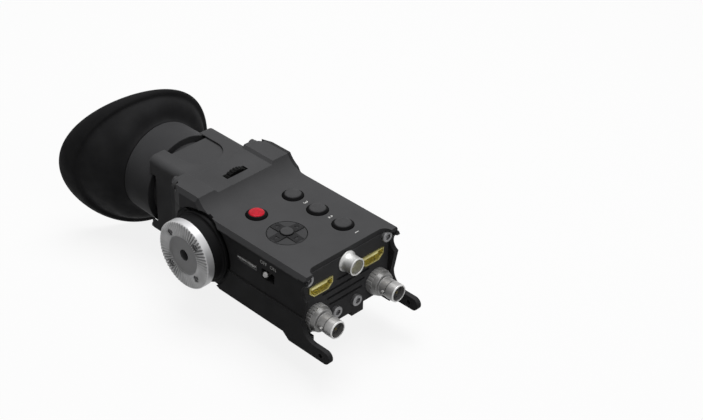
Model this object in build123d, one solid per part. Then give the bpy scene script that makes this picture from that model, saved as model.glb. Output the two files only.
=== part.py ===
from build123d import *
import math
import os

# An electronic viewfinder, carried on a camera by the toothed disc on its left side.
# X runs to the right, Y runs back along the line of sight to the eye, and Z runs up.
# Pieces are drawn from the middle of the deck's front edge, and moved at the end so that
# the origin is the mouth of the toothed disc's bore. All sizes are in millimetres.

# Housing
HALF_WIDTH = 32.0  # middle to the outer face of a side plate
PLATE_T = 2.7
WALL_T = 2.3
FLOOR_Z = -39.0
FLOOR_T = 2.2
COVER_T = 3.0
COVE_R = 15.0
SHOULDER_Z = 7.5
SHOULDER_LENGTH = 32.5  # foot of the cove to the rear of the housing
PLATEAU_Z = 6.0
PLATEAU_HALF = 18.3
PLATEAU_SLOPE = 1.5  # width of the slope up to each shoulder
BEVEL_WIDTH = 1.5
BEVEL_DROP = 2.6
REAR_TAPER = 2.0  # how far the rear of each side turns in
REAR_TAPER_LENGTH = 6.1
FLANK_T = 2.0  # raised rear of the right plate, beside the cover's shoulder
FLANK_STEP = 3.9  # from the foot of the cove to the raised rear
FLANK_RISE = 3.0
EAR_INSET = 9.7  # from the side of the housing to the root of an ear
EAR_REACH = 4.4
EAR_T = 2.4
SEAT_GAP = 0.05  # between a screw or shaft and the hole that seats it
LOOSE_GAP = 0.3  # between pieces that pass through each other freely
PANEL_GAP = 0.2  # round the slot's shell where it passes a wall

# Screws and the bosses that take them
M2_R = 1.1  # shank of the larger screws
FINE_R = 0.9  # shank of the smaller screws
BOSS_LENGTH = 7.0
SCREW_HOLD = 5.0  # how far a screw reaches into what holds it
CASE_SCREW_LENGTH = 9.0
LUG_SCREW_LENGTH = 10.0
TOP_BOSS_R = 2.2
LOW_BOSS_HALF = 2.3
POST_R = 2.6
POST_FOOT = 3.0  # height of the tray's half of a post
POST_INSET = 8.0  # from the side of the housing
POST_FRONT_Y = 13.0
POST_REAR_STEP = 26.1  # from the rear of the housing forward
CASE_HEAD_R = 2.1
BLOCK_SCREW_INSET = 6.0
BLOCK_SCREW_Z = (5.1, -37.9)
BLOCK_HEAD_R = 2.2
BOSS_SCREW_HOLD = 3.0
BOSS_SCREW_HEAD_R = 2.0
BOSS_SCREW_STEP = 10.0  # either side of the disc's axis, in Y and in Z

# Side plates
PLATE_BOTTOM = -39.2
PRONG_TIP_Y = -21.6
PRONG_TOP = -35.6
PRONG_BOTTOM = -42.6
PRONG_HOLE_R = 1.25
PRONG_HOLE = (-15.6, -39.4)
PRONG_ROOT = (-5.5, 10.4)
PRONG_ROOT_T = 2.9
SWELL_STEP = 13.3  # from the disc's axis forward to the start of the plate's swelling
SWELL_BOTTOM = -41.2
SWELL_CORNER = (3.6, 1.8)
BAND_TOP = -24.3  # top of the left plate's lower band
LEFT_PANEL_T = 2.0
GROOVE = 0.3

# Front panel
PANEL_FACE = -0.5
PANEL_T = 2.5
PANEL_BOTTOM = -38.4
PANEL_TAB = (12.7, -40.7)
PANEL_FOOT = (4.7, 12.7, -43.4)
TOP_SCREW_INSET = 5.2
TOP_SCREW_Z = -5.2
LOW_SCREW = (6.85, -33.9)
PANEL_HEAD_R = 3.1
VENT_T = 1.4
VENTS = [(6.5, -15.5), (16.2, -19.7), (13.0, -23.9), (11.3, -28.1)]

# Sockets on the front
VIDEO_INSET = 14.5
VIDEO_TOP = -11.0
VIDEO_WIDTH = 15.6
VIDEO_HEIGHT = 6.2
VIDEO_WALL = 0.6
VIDEO_GAP = 0.15
VIDEO_PROUD = 0.7
TONGUE_HALF = 5.3
TONGUE_DROP = 1.9
TONGUE_T = 1.2
COAX_INSET = 10.95
COAX_Z = -29.3
COAX_R = 4.83
COAX_NOSE = 4.9  # length of the nose that a plug slides over
COAX_THREAD_R = 4.65
COAX_REACH = 15.9
COAX_BORE_R = 4.05
COAX_DEPTH = 9.4
COAX_LUG_R = 1.0
COAX_LUG_STEP = 6.4  # from the mouth back to the lugs
COLLAR_FRONT = 6.0  # from the panel forward to the front of the collar
COLLAR_R = 6.9
COLLAR_FRONT_R = 6.2
RING_NUT_R = 7.05
RING_NUT_T = 3.5
RING_NUT_NOTCHES = 24
COAX_SLEEVE_R = 2.3
COAX_CORE_R = 2.0
CONTACT_R = 0.7
CONTACT_BORE_R = 0.35
POWER_Z = -7.2
POWER_R = 4.7
POWER_BORE_R = 3.9
POWER_NECK_R = 3.6  # behind the panel face
POWER_NECK_T = 0.45
POWER_REACH = 7.4
POWER_RECESS = 5.0
POWER_CONTACT_CIRCLE = 1.75
BOARD_GAP_Y = 6.0  # front face of the port board
BOARD_T = 1.6
BOARD_EDGE_GAP = 0.5

# Controls
KEY_INSET = 19.0
KEY_FIRST_Y = 15.2
KEY_PITCH = 17.7
KEY_TO_COVE = 9.0  # from the last row of keys to the foot of the cove
RECORD_INSET = 20.1
RECORD_STEP = 0.15  # how far the record key lies ahead of the last row
KEY_R = 5.5
KEY_TOP_R = 4.0
KEY_PROUD = 1.7
KEY_TRAVEL = 0.8
KEY_GAP = 0.25
KEY_FLANGE = 0.8
KEY_STEM_R = 1.5
PAD_INSET = 19.9
PAD_STEP = 22.1  # how far the pad lies ahead of the last row
PAD_R = 10.0
PAD_FACE = 0.15  # height of the pad's four quarters
ARM_HALF = 2.65
ARM_HIGH = 0.85  # height of an arm beside the centre key
ARM_LOW = 0.45  # height of an arm at the rim
ARM_REACH = 9.5
PAD_PIVOT_Z = -2.6
PAD_TILT = 2.0  # degrees each way
PAD_FLANGE = 0.8
PAD_FLANGE_T = 0.5
PAD_REST = 0.22  # between the tilted flange and the cover
PAD_WALL = 1.1
ARROW = (6.0, 8.0, 1.5)  # start and tip of the sunk arrow, and half its width
ARROW_FLOOR = 0.25
GIMBAL_T = 0.55
GIMBAL_INSET = 1.6
GIMBAL_BORE_R = 4.8
CENTRE_R = 3.35
CENTRE_PROUD = 1.7
CENTRE_TRAVEL = 0.6
CENTRE_FLANGE = 0.8
CENTRE_STEM_R = 1.2
CENTRE_FLANGE_T = 0.7
CENTRE_UNDER = 0.35  # from the pad's under face to the centre key's flange
SWITCH_BOARD_Z = -6.8  # top of the button board
SWITCH_BOARD_EDGE = 6.0  # past the first and last rows of keys
PILLAR_R = 1.3
PILLAR_STEP = 4.6
PILLAR_INSET = 2.2
DOME_H = 1.2
DOME_W = 4.0
ARM_DOME = 0.75  # arm domes over key domes
TOGGLE_Y = 21.45
TOGGLE_Z = -12.6
TOGGLE_ARM = 7.0
TOGGLE_INSET = 1.0
TOGGLE_TIP_R = 1.7
TOGGLE_SWING = 29.0
TOGGLE_HUB_R = 1.5
TOGGLE_PIN_R = 0.6
TOGGLE_PIN_HALF = 3.1
TOGGLE_WINDOW = (9.1, 6.0, 1.4)
SWITCH_HALF = (4.6, 4.0)
SWITCH_DEPTH = 6.0
SLOT_Y = (29.3, 43.7)
SLOT_Z = (-13.4, -10.6)
SLOT_WALL = 0.4
SLOT_DEPTH = 7.0

# Toothed disc
DISC_STEP = 21.8  # from the rear of the housing forward to the disc's axis
DISC_Z = -19.8
DISC_R = 18.5
DISC_T = 5.0
DISC_STANDOFF = 12.0  # from the left plate out to the tips of the teeth
DISC_BEVEL = 0.9
BOSS_R = 17.8
FLANGE_R = 19.5
FLANGE_PROUD = 0.5
FLANGE_SINK = 1.2
SPIGOT_SEAT_R = 17.9
RING_GAP_R = 21.5
TEETH = 60
TOOTH_DEPTH = 0.9
TOOTH_INNER_R = 11.0
TOOTH_TIP_HALF = 0.1
DISC_BORE_R = 3.175
DISC_BORE_LENGTH = 10.0
DISC_SCREW_R = 13.4
DISC_HEAD_R = 1.8
DISC_HEAD_SINK = 2.4

# Eyepiece
AXIS_Z = -17.7
FLANGE_LOW = -40.6
FLANGE_CORNER = 5.0
BLOCK_FLANGE_T = 2.4
BLOCK_LENGTH = 28.9
BLOCK_STEP = 3.4  # how far the block's side lies inside the barrel's radius
BLOCK_BOTTOM = -39.0
BLOCK_WALL = 4.9  # front wall, flange and all
BLOCK_RECESS = 4.5  # depth of the round seat for the barrel
BLOCK_FLARE = 4.0
BLOCK_TOP_CORNER = 4.0
BLOCK_LOW_CORNER = 2.0
RECESS_GAP = 0.6
WINDOW_HALF = (9.5, 7.0)
POCKET_HALF = 12.2
POCKET_LENGTH = 14.0
POCKET_DEPTH = 1.2
FOOT_INNER_X = 18.0
FOOT_LENGTH = 15.0
FOOT_Z = -46.8
FOOT_BEND = 5.0
LUG_GAP = 0.6  # between a lug screw's head and the barrel
LUG_HEAD_R = 1.8
LUG_TURNS = (44.6, 133.7)  # degrees round the barrel, from straight up
BARREL_R = 25.7
BARREL_LENGTH = 18.5  # behind the block
BARREL_NECK = 3.9
BARREL_SINK = 3.1  # from the seat in the block to the barrel's full size
EYE_LENS_STEP = 9.0  # from the rear of the block to the eye lens
EYE_LENS_T = 4.4
LENS_RIM = 1.7  # flat edge round each lens, where its ring bears
LENS_RING_T = 2.6
SPIGOT_STEP = 3.1  # how much smaller the spigot is than the barrel
SPIGOT_WALL = 2.7
SPIGOT_LENGTH = 4.7
BORE_STEP = 0.8

# Focus drive
WHEEL_STEP = 14.2  # from the rear of the housing forward to the wheel
WHEEL_T = 3.0
WHEEL_PROUD = 2.0
WHEEL_RIBS = 30
WHEEL_RIB_R = 0.55
WHEEL_HUB_R = 3.2
WHEEL_HUB = 0.9
WHEEL_GAP = 0.5
WHEEL_SIDE = 1.3  # from the wheel's face to the bracket
DRIVE_INSET = 3.4  # from the focus bore in to the lead screw
SCREW_R = 1.5
SCREW_LEAD_IN = 3.9
GUIDE_R = 1.2
GUIDE_SINK = 1.5
BRACKET_HALF = 4.5
BRACKET_T = 2.0
BRACKET_FLOOR = 1.6
BRACKET_GAP = 1.0  # under the wheel
CARRIAGE_STEP = 20.0
CARRIAGE_LENGTH = 12.0
CARRIAGE_LENS_R = 12.6
CARRIAGE_LENS_T = 3.2
CARRIAGE_STOP = 2.0  # thickness of the shoulder the moving lens bears on
CARRIAGE_RING_T = 2.5
RUNNING_GAP = 0.07

# Eyecup
CUP_GAP = 0.3
CUP_RING_T = 1.4
CUP_RING_LENGTH = 3.4
CUP_RIM_R = 39.5
CUP_RIM_STEP = 12.1  # rim over the top and bottom, behind the cup's root
CUP_LEAN = 13.8  # how much further the left side reaches than the right
CUP_BOW = 11.85  # how far both sides reach past the top and bottom
CUP_SIDES = 8

# Electronics
MAIN_BOARD_INSET = 6.5
MAIN_BOARD_FRONT = 9.0
MAIN_BOARD_REAR_GAP = 8.1
MAIN_BOARD_Z = -31.0
BOARD_FOOT_R = 2.2
BOARD_HEAD_R = 1.9
BOARD_FOOT_INSET = 3.5
BOARD_FOOT_FRONT = 20.0
BOARD_FOOT_REAR = 20.1
CHIP = (8.0, 36.0, 52.0, 1.8)
MEMORY = (10.5, 15.0, 38.0, 50.0, 1.0)
EDGE_SOCKET = (9.0, 4.0, 3.0)
SPREADER = (11.0, 33.0, 55.0, 1.2, 4.0)
FIN_PITCH = 3.3
FIN_T = 1.0
DISPLAY = (24.0, 22.0, 3.5)
DISPLAY_GLASS = (9.2, 6.2, 0.9, 0.3)
CABLE_HALF = 6.0
CABLE_T = 0.4

# Sizes that follow from the ones above
DECK_LENGTH = KEY_FIRST_Y + 2 * KEY_PITCH + KEY_TO_COVE
REAR_Y = DECK_LENGTH + SHOULDER_LENGTH  # where the eyepiece block bolts on
FLANK_START = DECK_LENGTH + FLANK_STEP
EAR_X = HALF_WIDTH - EAR_INSET
TOP_SCREW = (HALF_WIDTH - TOP_SCREW_INSET, TOP_SCREW_Z)
POST_X = HALF_WIDTH - POST_INSET
POSTS = [(POST_X, POST_FRONT_Y), (POST_X, REAR_Y - POST_REAR_STEP)]
BLOCK_SCREWS = [(HALF_WIDTH - BLOCK_SCREW_INSET, z) for z in BLOCK_SCREW_Z]
VIDEO_X = HALF_WIDTH - VIDEO_INSET
COAX_X = HALF_WIDTH - COAX_INSET
KEY_X = HALF_WIDTH - KEY_INSET
LAST_KEY_Y = KEY_FIRST_Y + 2 * KEY_PITCH
KEYS = [(KEY_X, KEY_FIRST_Y + KEY_PITCH * row) for row in range(3)]
RECORD_PLACE = (RECORD_INSET - HALF_WIDTH, LAST_KEY_Y - RECORD_STEP)
PAD_PLACE = (PAD_INSET - HALF_WIDTH, LAST_KEY_Y - PAD_STEP)
DISC_Y = REAR_Y - DISC_STEP
DISC_FACE_X = -HALF_WIDTH - DISC_STANDOFF
FLANGE_X = -HALF_WIDTH - FLANGE_PROUD
FLANGE_SEAT_X = -HALF_WIDTH + FLANGE_SINK
BOSS_SCREWS = [(dy, dz) for dy in (-BOSS_SCREW_STEP, BOSS_SCREW_STEP)
               for dz in (-BOSS_SCREW_STEP, BOSS_SCREW_STEP)]
BLOCK_FLANGE_HALF = HALF_WIDTH - REAR_TAPER
BLOCK_HALF = BARREL_R - BLOCK_STEP
BLOCK_REAR = REAR_Y + BLOCK_LENGTH
BLOCK_FLOOR = BLOCK_REAR - BLOCK_RECESS  # where the barrel seats
POCKET_Y = BLOCK_REAR - POCKET_LENGTH
LUG_CIRCLE = BARREL_R + LUG_GAP + LUG_HEAD_R
LUG_SCREWS = [(LUG_CIRCLE * math.sin(math.radians(a)), AXIS_Z + LUG_CIRCLE * math.cos(math.radians(a)))
              for a in LUG_TURNS]
BARREL_END = BLOCK_REAR + BARREL_LENGTH
NECK_R = BARREL_R - BARREL_NECK
SPIGOT_R = BARREL_R - SPIGOT_STEP
SPIGOT_END = BARREL_END + SPIGOT_LENGTH
EYE_LENS_R = SPIGOT_R - SPIGOT_WALL
EYE_LENS_Y = BLOCK_REAR + EYE_LENS_STEP
FOCUS_BORE_R = EYE_LENS_R - BORE_STEP
DRIVE_Z = AXIS_Z + FOCUS_BORE_R - DRIVE_INSET
GUIDE_Z = AXIS_Z - FOCUS_BORE_R + DRIVE_INSET
WHEEL_R = PLATEAU_Z + WHEEL_PROUD - DRIVE_Z
WHEEL_Y = (REAR_Y - WHEEL_STEP, REAR_Y - WHEEL_STEP + WHEEL_T)
SCREW_END = BLOCK_FLOOR - LOOSE_GAP
CARRIAGE_Y = (BLOCK_REAR - CARRIAGE_STEP, BLOCK_REAR - CARRIAGE_STEP + CARRIAGE_LENGTH)
CUP_START = BARREL_END + CUP_GAP
CUP_ROOT_R = BARREL_R
CUP_RING_R = SPIGOT_R + CUP_RING_T
CUP_RIM_Y = CUP_START + CUP_RIM_STEP
INNER_HALF = HALF_WIDTH - PLATE_T - WALL_T
WALL_OUTER = HALF_WIDTH - PLATE_T
FLOOR_TOP = FLOOR_Z + FLOOR_T
DOME_TOP = SWITCH_BOARD_Z + DOME_H
PANEL_BACK = PANEL_FACE + PANEL_T
MAIN_BOARD_HALF = INNER_HALF - MAIN_BOARD_INSET
MAIN_BOARD_Y = (MAIN_BOARD_FRONT, REAR_Y - MAIN_BOARD_REAR_GAP)
BOARD_FEET = [(MAIN_BOARD_HALF - BOARD_FOOT_INSET, BOARD_FOOT_FRONT),
              (MAIN_BOARD_HALF - BOARD_FOOT_INSET, REAR_Y - BOARD_FOOT_REAR)]
CAP_SEAT_Z = KEY_PROUD - 1.1
DIAGONALS = [math.radians(a) for a in (45, 135, 225, 315)]
POWER_CONTACTS = [(POWER_CONTACT_CIRCLE * math.cos(a), POWER_CONTACT_CIRCLE * math.sin(a)) for a in DIAGONALS]
DISC_SCREWS = [(DISC_SCREW_R * math.cos(a), DISC_SCREW_R * math.sin(a)) for a in DIAGONALS]
PAD_FLANGE_TOP = -COVER_T - (PAD_R + PAD_FLANGE) * math.sin(math.radians(PAD_TILT)) - PAD_REST
BOTH = (-1, 1)


def slab_xy(sketch, z0, z1):
    """Extrude a sketch of X and Y from height z0 up to z1."""
    return extrude(Plane.XY.offset(z0) * sketch, z1 - z0)


def slab_yz(sketch, x0, x1):
    """Extrude a sketch of Y and Z from x0 to x1."""
    return extrude(Plane.YZ.offset(x0) * sketch, x1 - x0)


def slab_xz(sketch, y0, y1):
    """Extrude a sketch of X and Z from y0 back to y1."""
    return extrude(Plane.XZ.offset(-y1) * sketch, y1 - y0)


def block(x0, x1, y0, y1, z0, z1):
    """A box between two corners."""
    middle = Pos((x0 + x1) / 2, (y0 + y1) / 2, (z0 + z1) / 2)
    return middle * Box(abs(x1 - x0), abs(y1 - y0), abs(z1 - z0))


def rod_x(y, z, r, x0, x1):
    """A round rod along X."""
    return slab_yz(Pos(y, z) * Circle(r), x0, x1)


def rod_y(x, z, r, y0, y1):
    """A round rod along Y."""
    return slab_xz(Pos(x, z) * Circle(r), y0, y1)


def rod_z(x, y, r, z0, z1):
    """A round rod along Z."""
    return slab_xy(Pos(x, y) * Circle(r), z0, z1)


def turned_x(y, z, *profile):
    """Turn an outline of (x, radius) points about a line along X."""
    return Pos(0, y, z) * revolve(make_face(Polyline(*profile, close=True)), Axis.X)


def turned_y(x, z, *profile):
    """Turn an outline of (radius, y) points about a line along Y."""
    return Pos(x, 0, z) * revolve(make_face(Polyline(*profile, close=True)), Axis.Y)


def turned_z(x, y, *profile):
    """Turn an outline of (radius, z) points about a line along Z."""
    face = Plane.XZ * make_face(Polyline(*profile, close=True))
    return Pos(x, y, 0) * revolve(face, Axis.Z)


def facing(piece, place, direction):
    """Put a piece drawn along +Z at a place, with its top towards a direction."""
    return Plane(origin=place, z_dir=direction).location * piece


def cap_screw(head_r, head_h, shank_r, shank_length):
    """A round-head socket screw that seats at z = 0, with its shank below."""
    head = rod_z(0, 0, head_r, 0, head_h)
    head = chamfer(head.edges().group_by(Axis.Z)[-1], head_h * 0.2)
    socket = slab_xy(RegularPolygon(head_r * 0.55, 6), head_h * 0.35, head_h + 1)
    return head - socket + rod_z(0, 0, shank_r, -shank_length, 0)


def flat_screw(head_r, shank_r, shank_length):
    """A flush screw whose cone ends at z = 0, with its shank below."""
    cone = turned_z(0, 0, (0, 0), (head_r, 0), (shank_r, shank_r - head_r), (0, shank_r - head_r))
    socket = slab_xy(RegularPolygon(head_r * 0.5, 6), -0.7, 1)
    return cone - socket + rod_z(0, 0, shank_r, -shank_length, shank_r - head_r)


def cove_z(y):
    """Height of the cove at a distance back."""
    return COVE_R - math.sqrt(COVE_R ** 2 - (y - DECK_LENGTH) ** 2)


def cove_y(z, r=COVE_R):
    """Distance back at which a cove of this radius reaches a height."""
    return DECK_LENGTH + math.sqrt(r ** 2 - (COVE_R - z) ** 2)


def cove_arc(start, end, r=COVE_R):
    """The cove's arc between two points on it."""
    y = (start[0] + end[0]) / 2
    middle = (y, COVE_R - math.sqrt(r ** 2 - (y - DECK_LENGTH) ** 2))
    return ThreePointArc(start, middle, end)


def rear_tapers():
    """The wedges that turn both sides in at the rear."""
    start = REAR_Y - REAR_TAPER_LENGTH
    low = PRONG_BOTTOM - 1
    wedges = []
    for side in BOTH:
        plan = make_face(Polyline(
            (side * HALF_WIDTH, start), (side * (HALF_WIDTH - REAR_TAPER), REAR_Y),
            (side * (HALF_WIDTH - REAR_TAPER), REAR_Y + 1), (side * (HALF_WIDTH + 1), REAR_Y + 1),
            (side * (HALF_WIDTH + 1), start), close=True))
        wedges.append(slab_xy(plan, low, SHOULDER_Z + 1))
    return wedges[0] + wedges[1]


def bevel_cut(side):
    """What the cover's sloping side edge leaves out, along the deck, cove and shoulder."""
    inner = side * (HALF_WIDTH - BEVEL_WIDTH)
    outer = side * HALF_WIDTH
    past = side * (HALF_WIDTH + 1)
    section = make_face(Polyline((inner, 0), (outer, -BEVEL_DROP), (past, -BEVEL_DROP),
                                 (past, 1), (inner, 1), close=True))
    crest = cove_y(SHOULDER_Z)
    sweep = math.degrees(math.asin((crest - DECK_LENGTH) / COVE_R))
    along_deck = slab_xz(section, -EAR_REACH - 1, DECK_LENGTH)
    pivot = Axis((0, DECK_LENGTH, COVE_R), (1, 0, 0))
    up_cove = revolve(Plane.XZ.offset(-DECK_LENGTH) * section, pivot, revolution_arc=sweep)
    along_shoulder = slab_xz(Pos(0, SHOULDER_Z) * section, crest, REAR_Y + 1)
    return along_deck + up_cove + along_shoulder


def ear(side):
    """The lip of the cover that reaches forward over one top screw."""
    reach = EAR_REACH
    turn = 0.8
    start = (side * EAR_X, 0)
    tip = (side * (EAR_X + reach), -reach)
    middle = (side * (EAR_X + reach * math.sin(math.pi / 4)), -reach * (1 - math.sin(math.pi / 4)))
    plan = make_face([
        ThreePointArc(start, middle, tip),
        Line(tip, (side * (HALF_WIDTH - turn), -reach)),
        Line((side * (HALF_WIDTH - turn), -reach), (side * HALF_WIDTH, -reach + turn)),
        Line((side * HALF_WIDTH, -reach + turn), (side * HALF_WIDTH, 0.5)),
        Line((side * HALF_WIDTH, 0.5), (side * EAR_X, 0.5)),
        Line((side * EAR_X, 0.5), start)])
    return slab_xy(plan, -EAR_T, 0) - head_relief(side)


def over_plateau(y0, y1):
    """What lies over the plateau, between the slopes up to the shoulders."""
    foot = PLATEAU_HALF
    crest = PLATEAU_HALF + PLATEAU_SLOPE
    past = SHOULDER_Z + 1
    section = make_face(Polyline((-foot, PLATEAU_Z), (foot, PLATEAU_Z), (crest, SHOULDER_Z), (crest, past),
                                 (-crest, past), (-crest, SHOULDER_Z), close=True))
    return slab_xz(section, y0, y1)


def top_cover():
    """Deck, cove and shoulders in one moulding, open below and at the rear."""
    crest = (cove_y(SHOULDER_Z), SHOULDER_Z)
    side_view = make_face([
        Line((0, -COVER_T), (0, 0)), Line((0, 0), (DECK_LENGTH, 0)),
        cove_arc((DECK_LENGTH, 0), crest),
        Line(crest, (REAR_Y, SHOULDER_Z)), Line((REAR_Y, SHOULDER_Z), (REAR_Y, -COVER_T)),
        Line((REAR_Y, -COVER_T), (0, -COVER_T))])
    cover = slab_yz(side_view, -HALF_WIDTH, HALF_WIDTH)
    cover -= over_plateau(DECK_LENGTH, REAR_Y + 1)
    inner_r = COVE_R + COVER_T
    ceiling = PLATEAU_Z - COVER_T
    start = (DECK_LENGTH, -COVER_T)
    end = (cove_y(ceiling, inner_r), ceiling)
    hollow = make_face([
        cove_arc(start, end, inner_r),
        Line(end, (REAR_Y + 1, ceiling)), Line((REAR_Y + 1, ceiling), (REAR_Y + 1, -COVER_T - 1)),
        Line((REAR_Y + 1, -COVER_T - 1), (DECK_LENGTH, -COVER_T - 1)),
        Line((DECK_LENGTH, -COVER_T - 1), start)])
    cover -= slab_yz(hollow, -INNER_HALF, INNER_HALF)
    for side in BOTH:
        cover += ear(side)
        cover -= bevel_cut(side)
        corner = make_face(Polyline(
            (side * (INNER_HALF + 2), REAR_Y - 2.2), (side * (INNER_HALF + 0.3), REAR_Y + 0.1),
            (side * (HALF_WIDTH + 1), REAR_Y + 0.1), (side * (HALF_WIDTH + 1), REAR_Y - 2.2),
            close=True))
        cover -= slab_xy(corner, PLATEAU_Z - COVER_T, SHOULDER_Z + 1)
        for x, y in POSTS:
            cover += rod_z(side * x, y, POST_R, FLOOR_TOP + POST_FOOT, -COVER_T + 0.5)
            cover -= rod_z(side * x, y, FINE_R + SEAT_GAP, FLOOR_TOP + 2, FLOOR_TOP + 11)
        x, z = BLOCK_SCREWS[0]
        cover -= rod_y(side * x, z, M2_R + SEAT_GAP, REAR_Y - BOSS_LENGTH + 1, REAR_Y + 1)
    cover -= slab_yz(flank_outline(1), HALF_WIDTH - FLANK_T, HALF_WIDTH + 1)
    cover -= rear_tapers()
    for x, y in KEYS + [RECORD_PLACE]:
        cover -= rod_z(x, y, KEY_R + KEY_GAP, -COVER_T - 1, 1)
    cover -= rod_z(*PAD_PLACE, PAD_R + LOOSE_GAP, -COVER_T - 1, 1)
    slot_y = (WHEEL_Y[0] - WHEEL_GAP, WHEEL_Y[1] + WHEEL_GAP)
    slot_half = math.sqrt((WHEEL_R + WHEEL_GAP) ** 2 - (PLATEAU_Z - DRIVE_Z) ** 2) + LOOSE_GAP
    cover -= block(-slot_half, slot_half, *slot_y, 0, SHOULDER_Z)
    cover -= rod_y(0, DRIVE_Z, WHEEL_R + WHEEL_GAP, *slot_y)
    cover -= rod_x(DISC_Y, DISC_Z, RING_GAP_R, -HALF_WIDTH - 1, -WALL_OUTER)
    return cover


def flank_outline(extra=0.0):
    """Side view of the right plate's raised rear; extra lifts its top past the shoulder."""
    foot = (FLANK_START, -COVER_T)
    knee = (FLANK_START + FLANK_RISE, cove_z(FLANK_START + FLANK_RISE))
    crest = (cove_y(SHOULDER_Z), SHOULDER_Z)
    if extra:
        top = SHOULDER_Z + extra
        return make_face(Polyline(foot, knee, (knee[0], top), (REAR_Y + extra, top),
                                  (REAR_Y + extra, -COVER_T), close=True))
    return make_face([
        Line(foot, knee), cove_arc(knee, crest), Line(crest, (REAR_Y, SHOULDER_Z)),
        Line((REAR_Y, SHOULDER_Z), (REAR_Y, -COVER_T)), Line((REAR_Y, -COVER_T), foot)])


def plate_outline():
    """Side view shared by both plates: scalloped front, prong, and swollen rear."""
    half = (PRONG_TOP - PRONG_BOTTOM) / 2
    tip_y = PRONG_TIP_Y + half
    swell = DISC_Y - SWELL_STEP
    return make_face([
        Line((-4.6, -COVER_T), (-5.4, -4.4)),
        ThreePointArc((-5.4, -4.4), (-1.5, -9.3), (-4.9, -14.2)),
        Line((-4.9, -14.2), (-2.6, -26.8)),
        ThreePointArc((-2.6, -26.8), (-4.7, -32.6), (-10.4, PRONG_TOP)),
        Line((-10.4, PRONG_TOP), (tip_y, PRONG_TOP)),
        ThreePointArc((tip_y, PRONG_TOP), (PRONG_TIP_Y, PRONG_TOP - half), (tip_y, PRONG_BOTTOM)),
        Line((tip_y, PRONG_BOTTOM), (6.2, PRONG_BOTTOM)),
        Line((6.2, PRONG_BOTTOM), (PRONG_ROOT[1], PLATE_BOTTOM)),
        Line((PRONG_ROOT[1], PLATE_BOTTOM), (swell, PLATE_BOTTOM)),
        ThreePointArc((swell, PLATE_BOTTOM), (swell + 3.6, PLATE_BOTTOM + 1.2),
                      (swell + 6.8, PLATE_BOTTOM + 0.9)),
        ThreePointArc((swell + 6.8, PLATE_BOTTOM + 0.9), (swell + 9.2, SWELL_BOTTOM + 0.8),
                      (swell + 12.8, SWELL_BOTTOM)),
        Line((swell + 12.8, SWELL_BOTTOM), (REAR_Y - SWELL_CORNER[0], SWELL_BOTTOM)),
        Line((REAR_Y - SWELL_CORNER[0], SWELL_BOTTOM), (REAR_Y, SWELL_BOTTOM + SWELL_CORNER[1])),
        Line((REAR_Y, SWELL_BOTTOM + SWELL_CORNER[1]), (REAR_Y, -COVER_T)),
        Line((REAR_Y, -COVER_T), (-4.6, -COVER_T))])


def prong_root(side):
    """The thicker root that backs a prong, under the tray and in front of the panel."""
    inner = side * (WALL_OUTER - PRONG_ROOT_T)
    outer = side * WALL_OUTER
    under = block(inner, outer, PANEL_FACE - 0.5, PRONG_ROOT[1] - 3.5, PRONG_BOTTOM, PLATE_BOTTOM)
    ahead = block(inner, outer, PRONG_ROOT[0], PANEL_FACE - 0.3, PRONG_BOTTOM, PRONG_TOP)
    return under + ahead


def head_relief(side):
    """Room round the head of a top panel screw, between the cover's ear and the plate."""
    return rod_y(side * TOP_SCREW[0], TOP_SCREW[1], PANEL_HEAD_R + LOOSE_GAP, -2 * EAR_REACH, PANEL_FACE)


def side_plate_right():
    """Right plate with its prong and its raised rear flank."""
    plate = slab_yz(plate_outline(), WALL_OUTER, HALF_WIDTH)
    plate += slab_yz(flank_outline(), HALF_WIDTH - FLANK_T, HALF_WIDTH)
    plate += prong_root(1)
    plate -= rod_x(*PRONG_HOLE, PRONG_HOLE_R, WALL_OUTER - 1, HALF_WIDTH + 1)
    return plate - rear_tapers() - head_relief(1)


def left_panel_window():
    """Side view of the opening that the upper left panel fills."""
    return make_face(Polyline((-8, BAND_TOP), (DISC_Y, BAND_TOP), (DISC_Y, 0), (-8, 0), close=True))


def side_plate_left():
    """Left plate: a lower band with its prong, and a rear ring round the disc's flange."""
    window = left_panel_window()
    plate = slab_yz(plate_outline() - window, -HALF_WIDTH, -WALL_OUTER)
    plate += prong_root(-1)
    plate -= rod_x(*PRONG_HOLE, PRONG_HOLE_R, -HALF_WIDTH - 1, -WALL_OUTER + 1)
    plate -= rod_x(DISC_Y, DISC_Z, SPIGOT_SEAT_R + LOOSE_GAP, -HALF_WIDTH - 1, -WALL_OUTER + 1)
    plate -= rod_x(DISC_Y, DISC_Z, RING_GAP_R, -HALF_WIDTH - 1, FLANGE_SEAT_X)
    return plate - rear_tapers()


def toggle_window(grow):
    """Rounded window of the sliding power lever, in Y and Z."""
    width, height, corner = TOGGLE_WINDOW
    return Pos(TOGGLE_Y, TOGGLE_Z) * RectangleRounded(width + 2 * grow, height + 2 * grow, corner)


def slot_passage(x0, x1):
    """Room for the slot's shell through a wall."""
    gap = PANEL_GAP
    return block(x0, x1, SLOT_Y[0] - gap, SLOT_Y[1] + gap, SLOT_Z[0] - gap, SLOT_Z[1] + gap)


def left_panel():
    """Inset upper panel with the card slot and the power lever's window."""
    inset = offset(left_panel_window(), -GROOVE, kind=Kind.INTERSECTION)
    face = plate_outline() & inset
    panel = slab_yz(face, -WALL_OUTER - LEFT_PANEL_T, -WALL_OUTER)
    panel -= rod_x(DISC_Y, DISC_Z, RING_GAP_R, -HALF_WIDTH, 0)
    panel -= slab_yz(toggle_window(0), -HALF_WIDTH, 0)
    return panel - slot_passage(-HALF_WIDTH, 0) - head_relief(-1)


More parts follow.
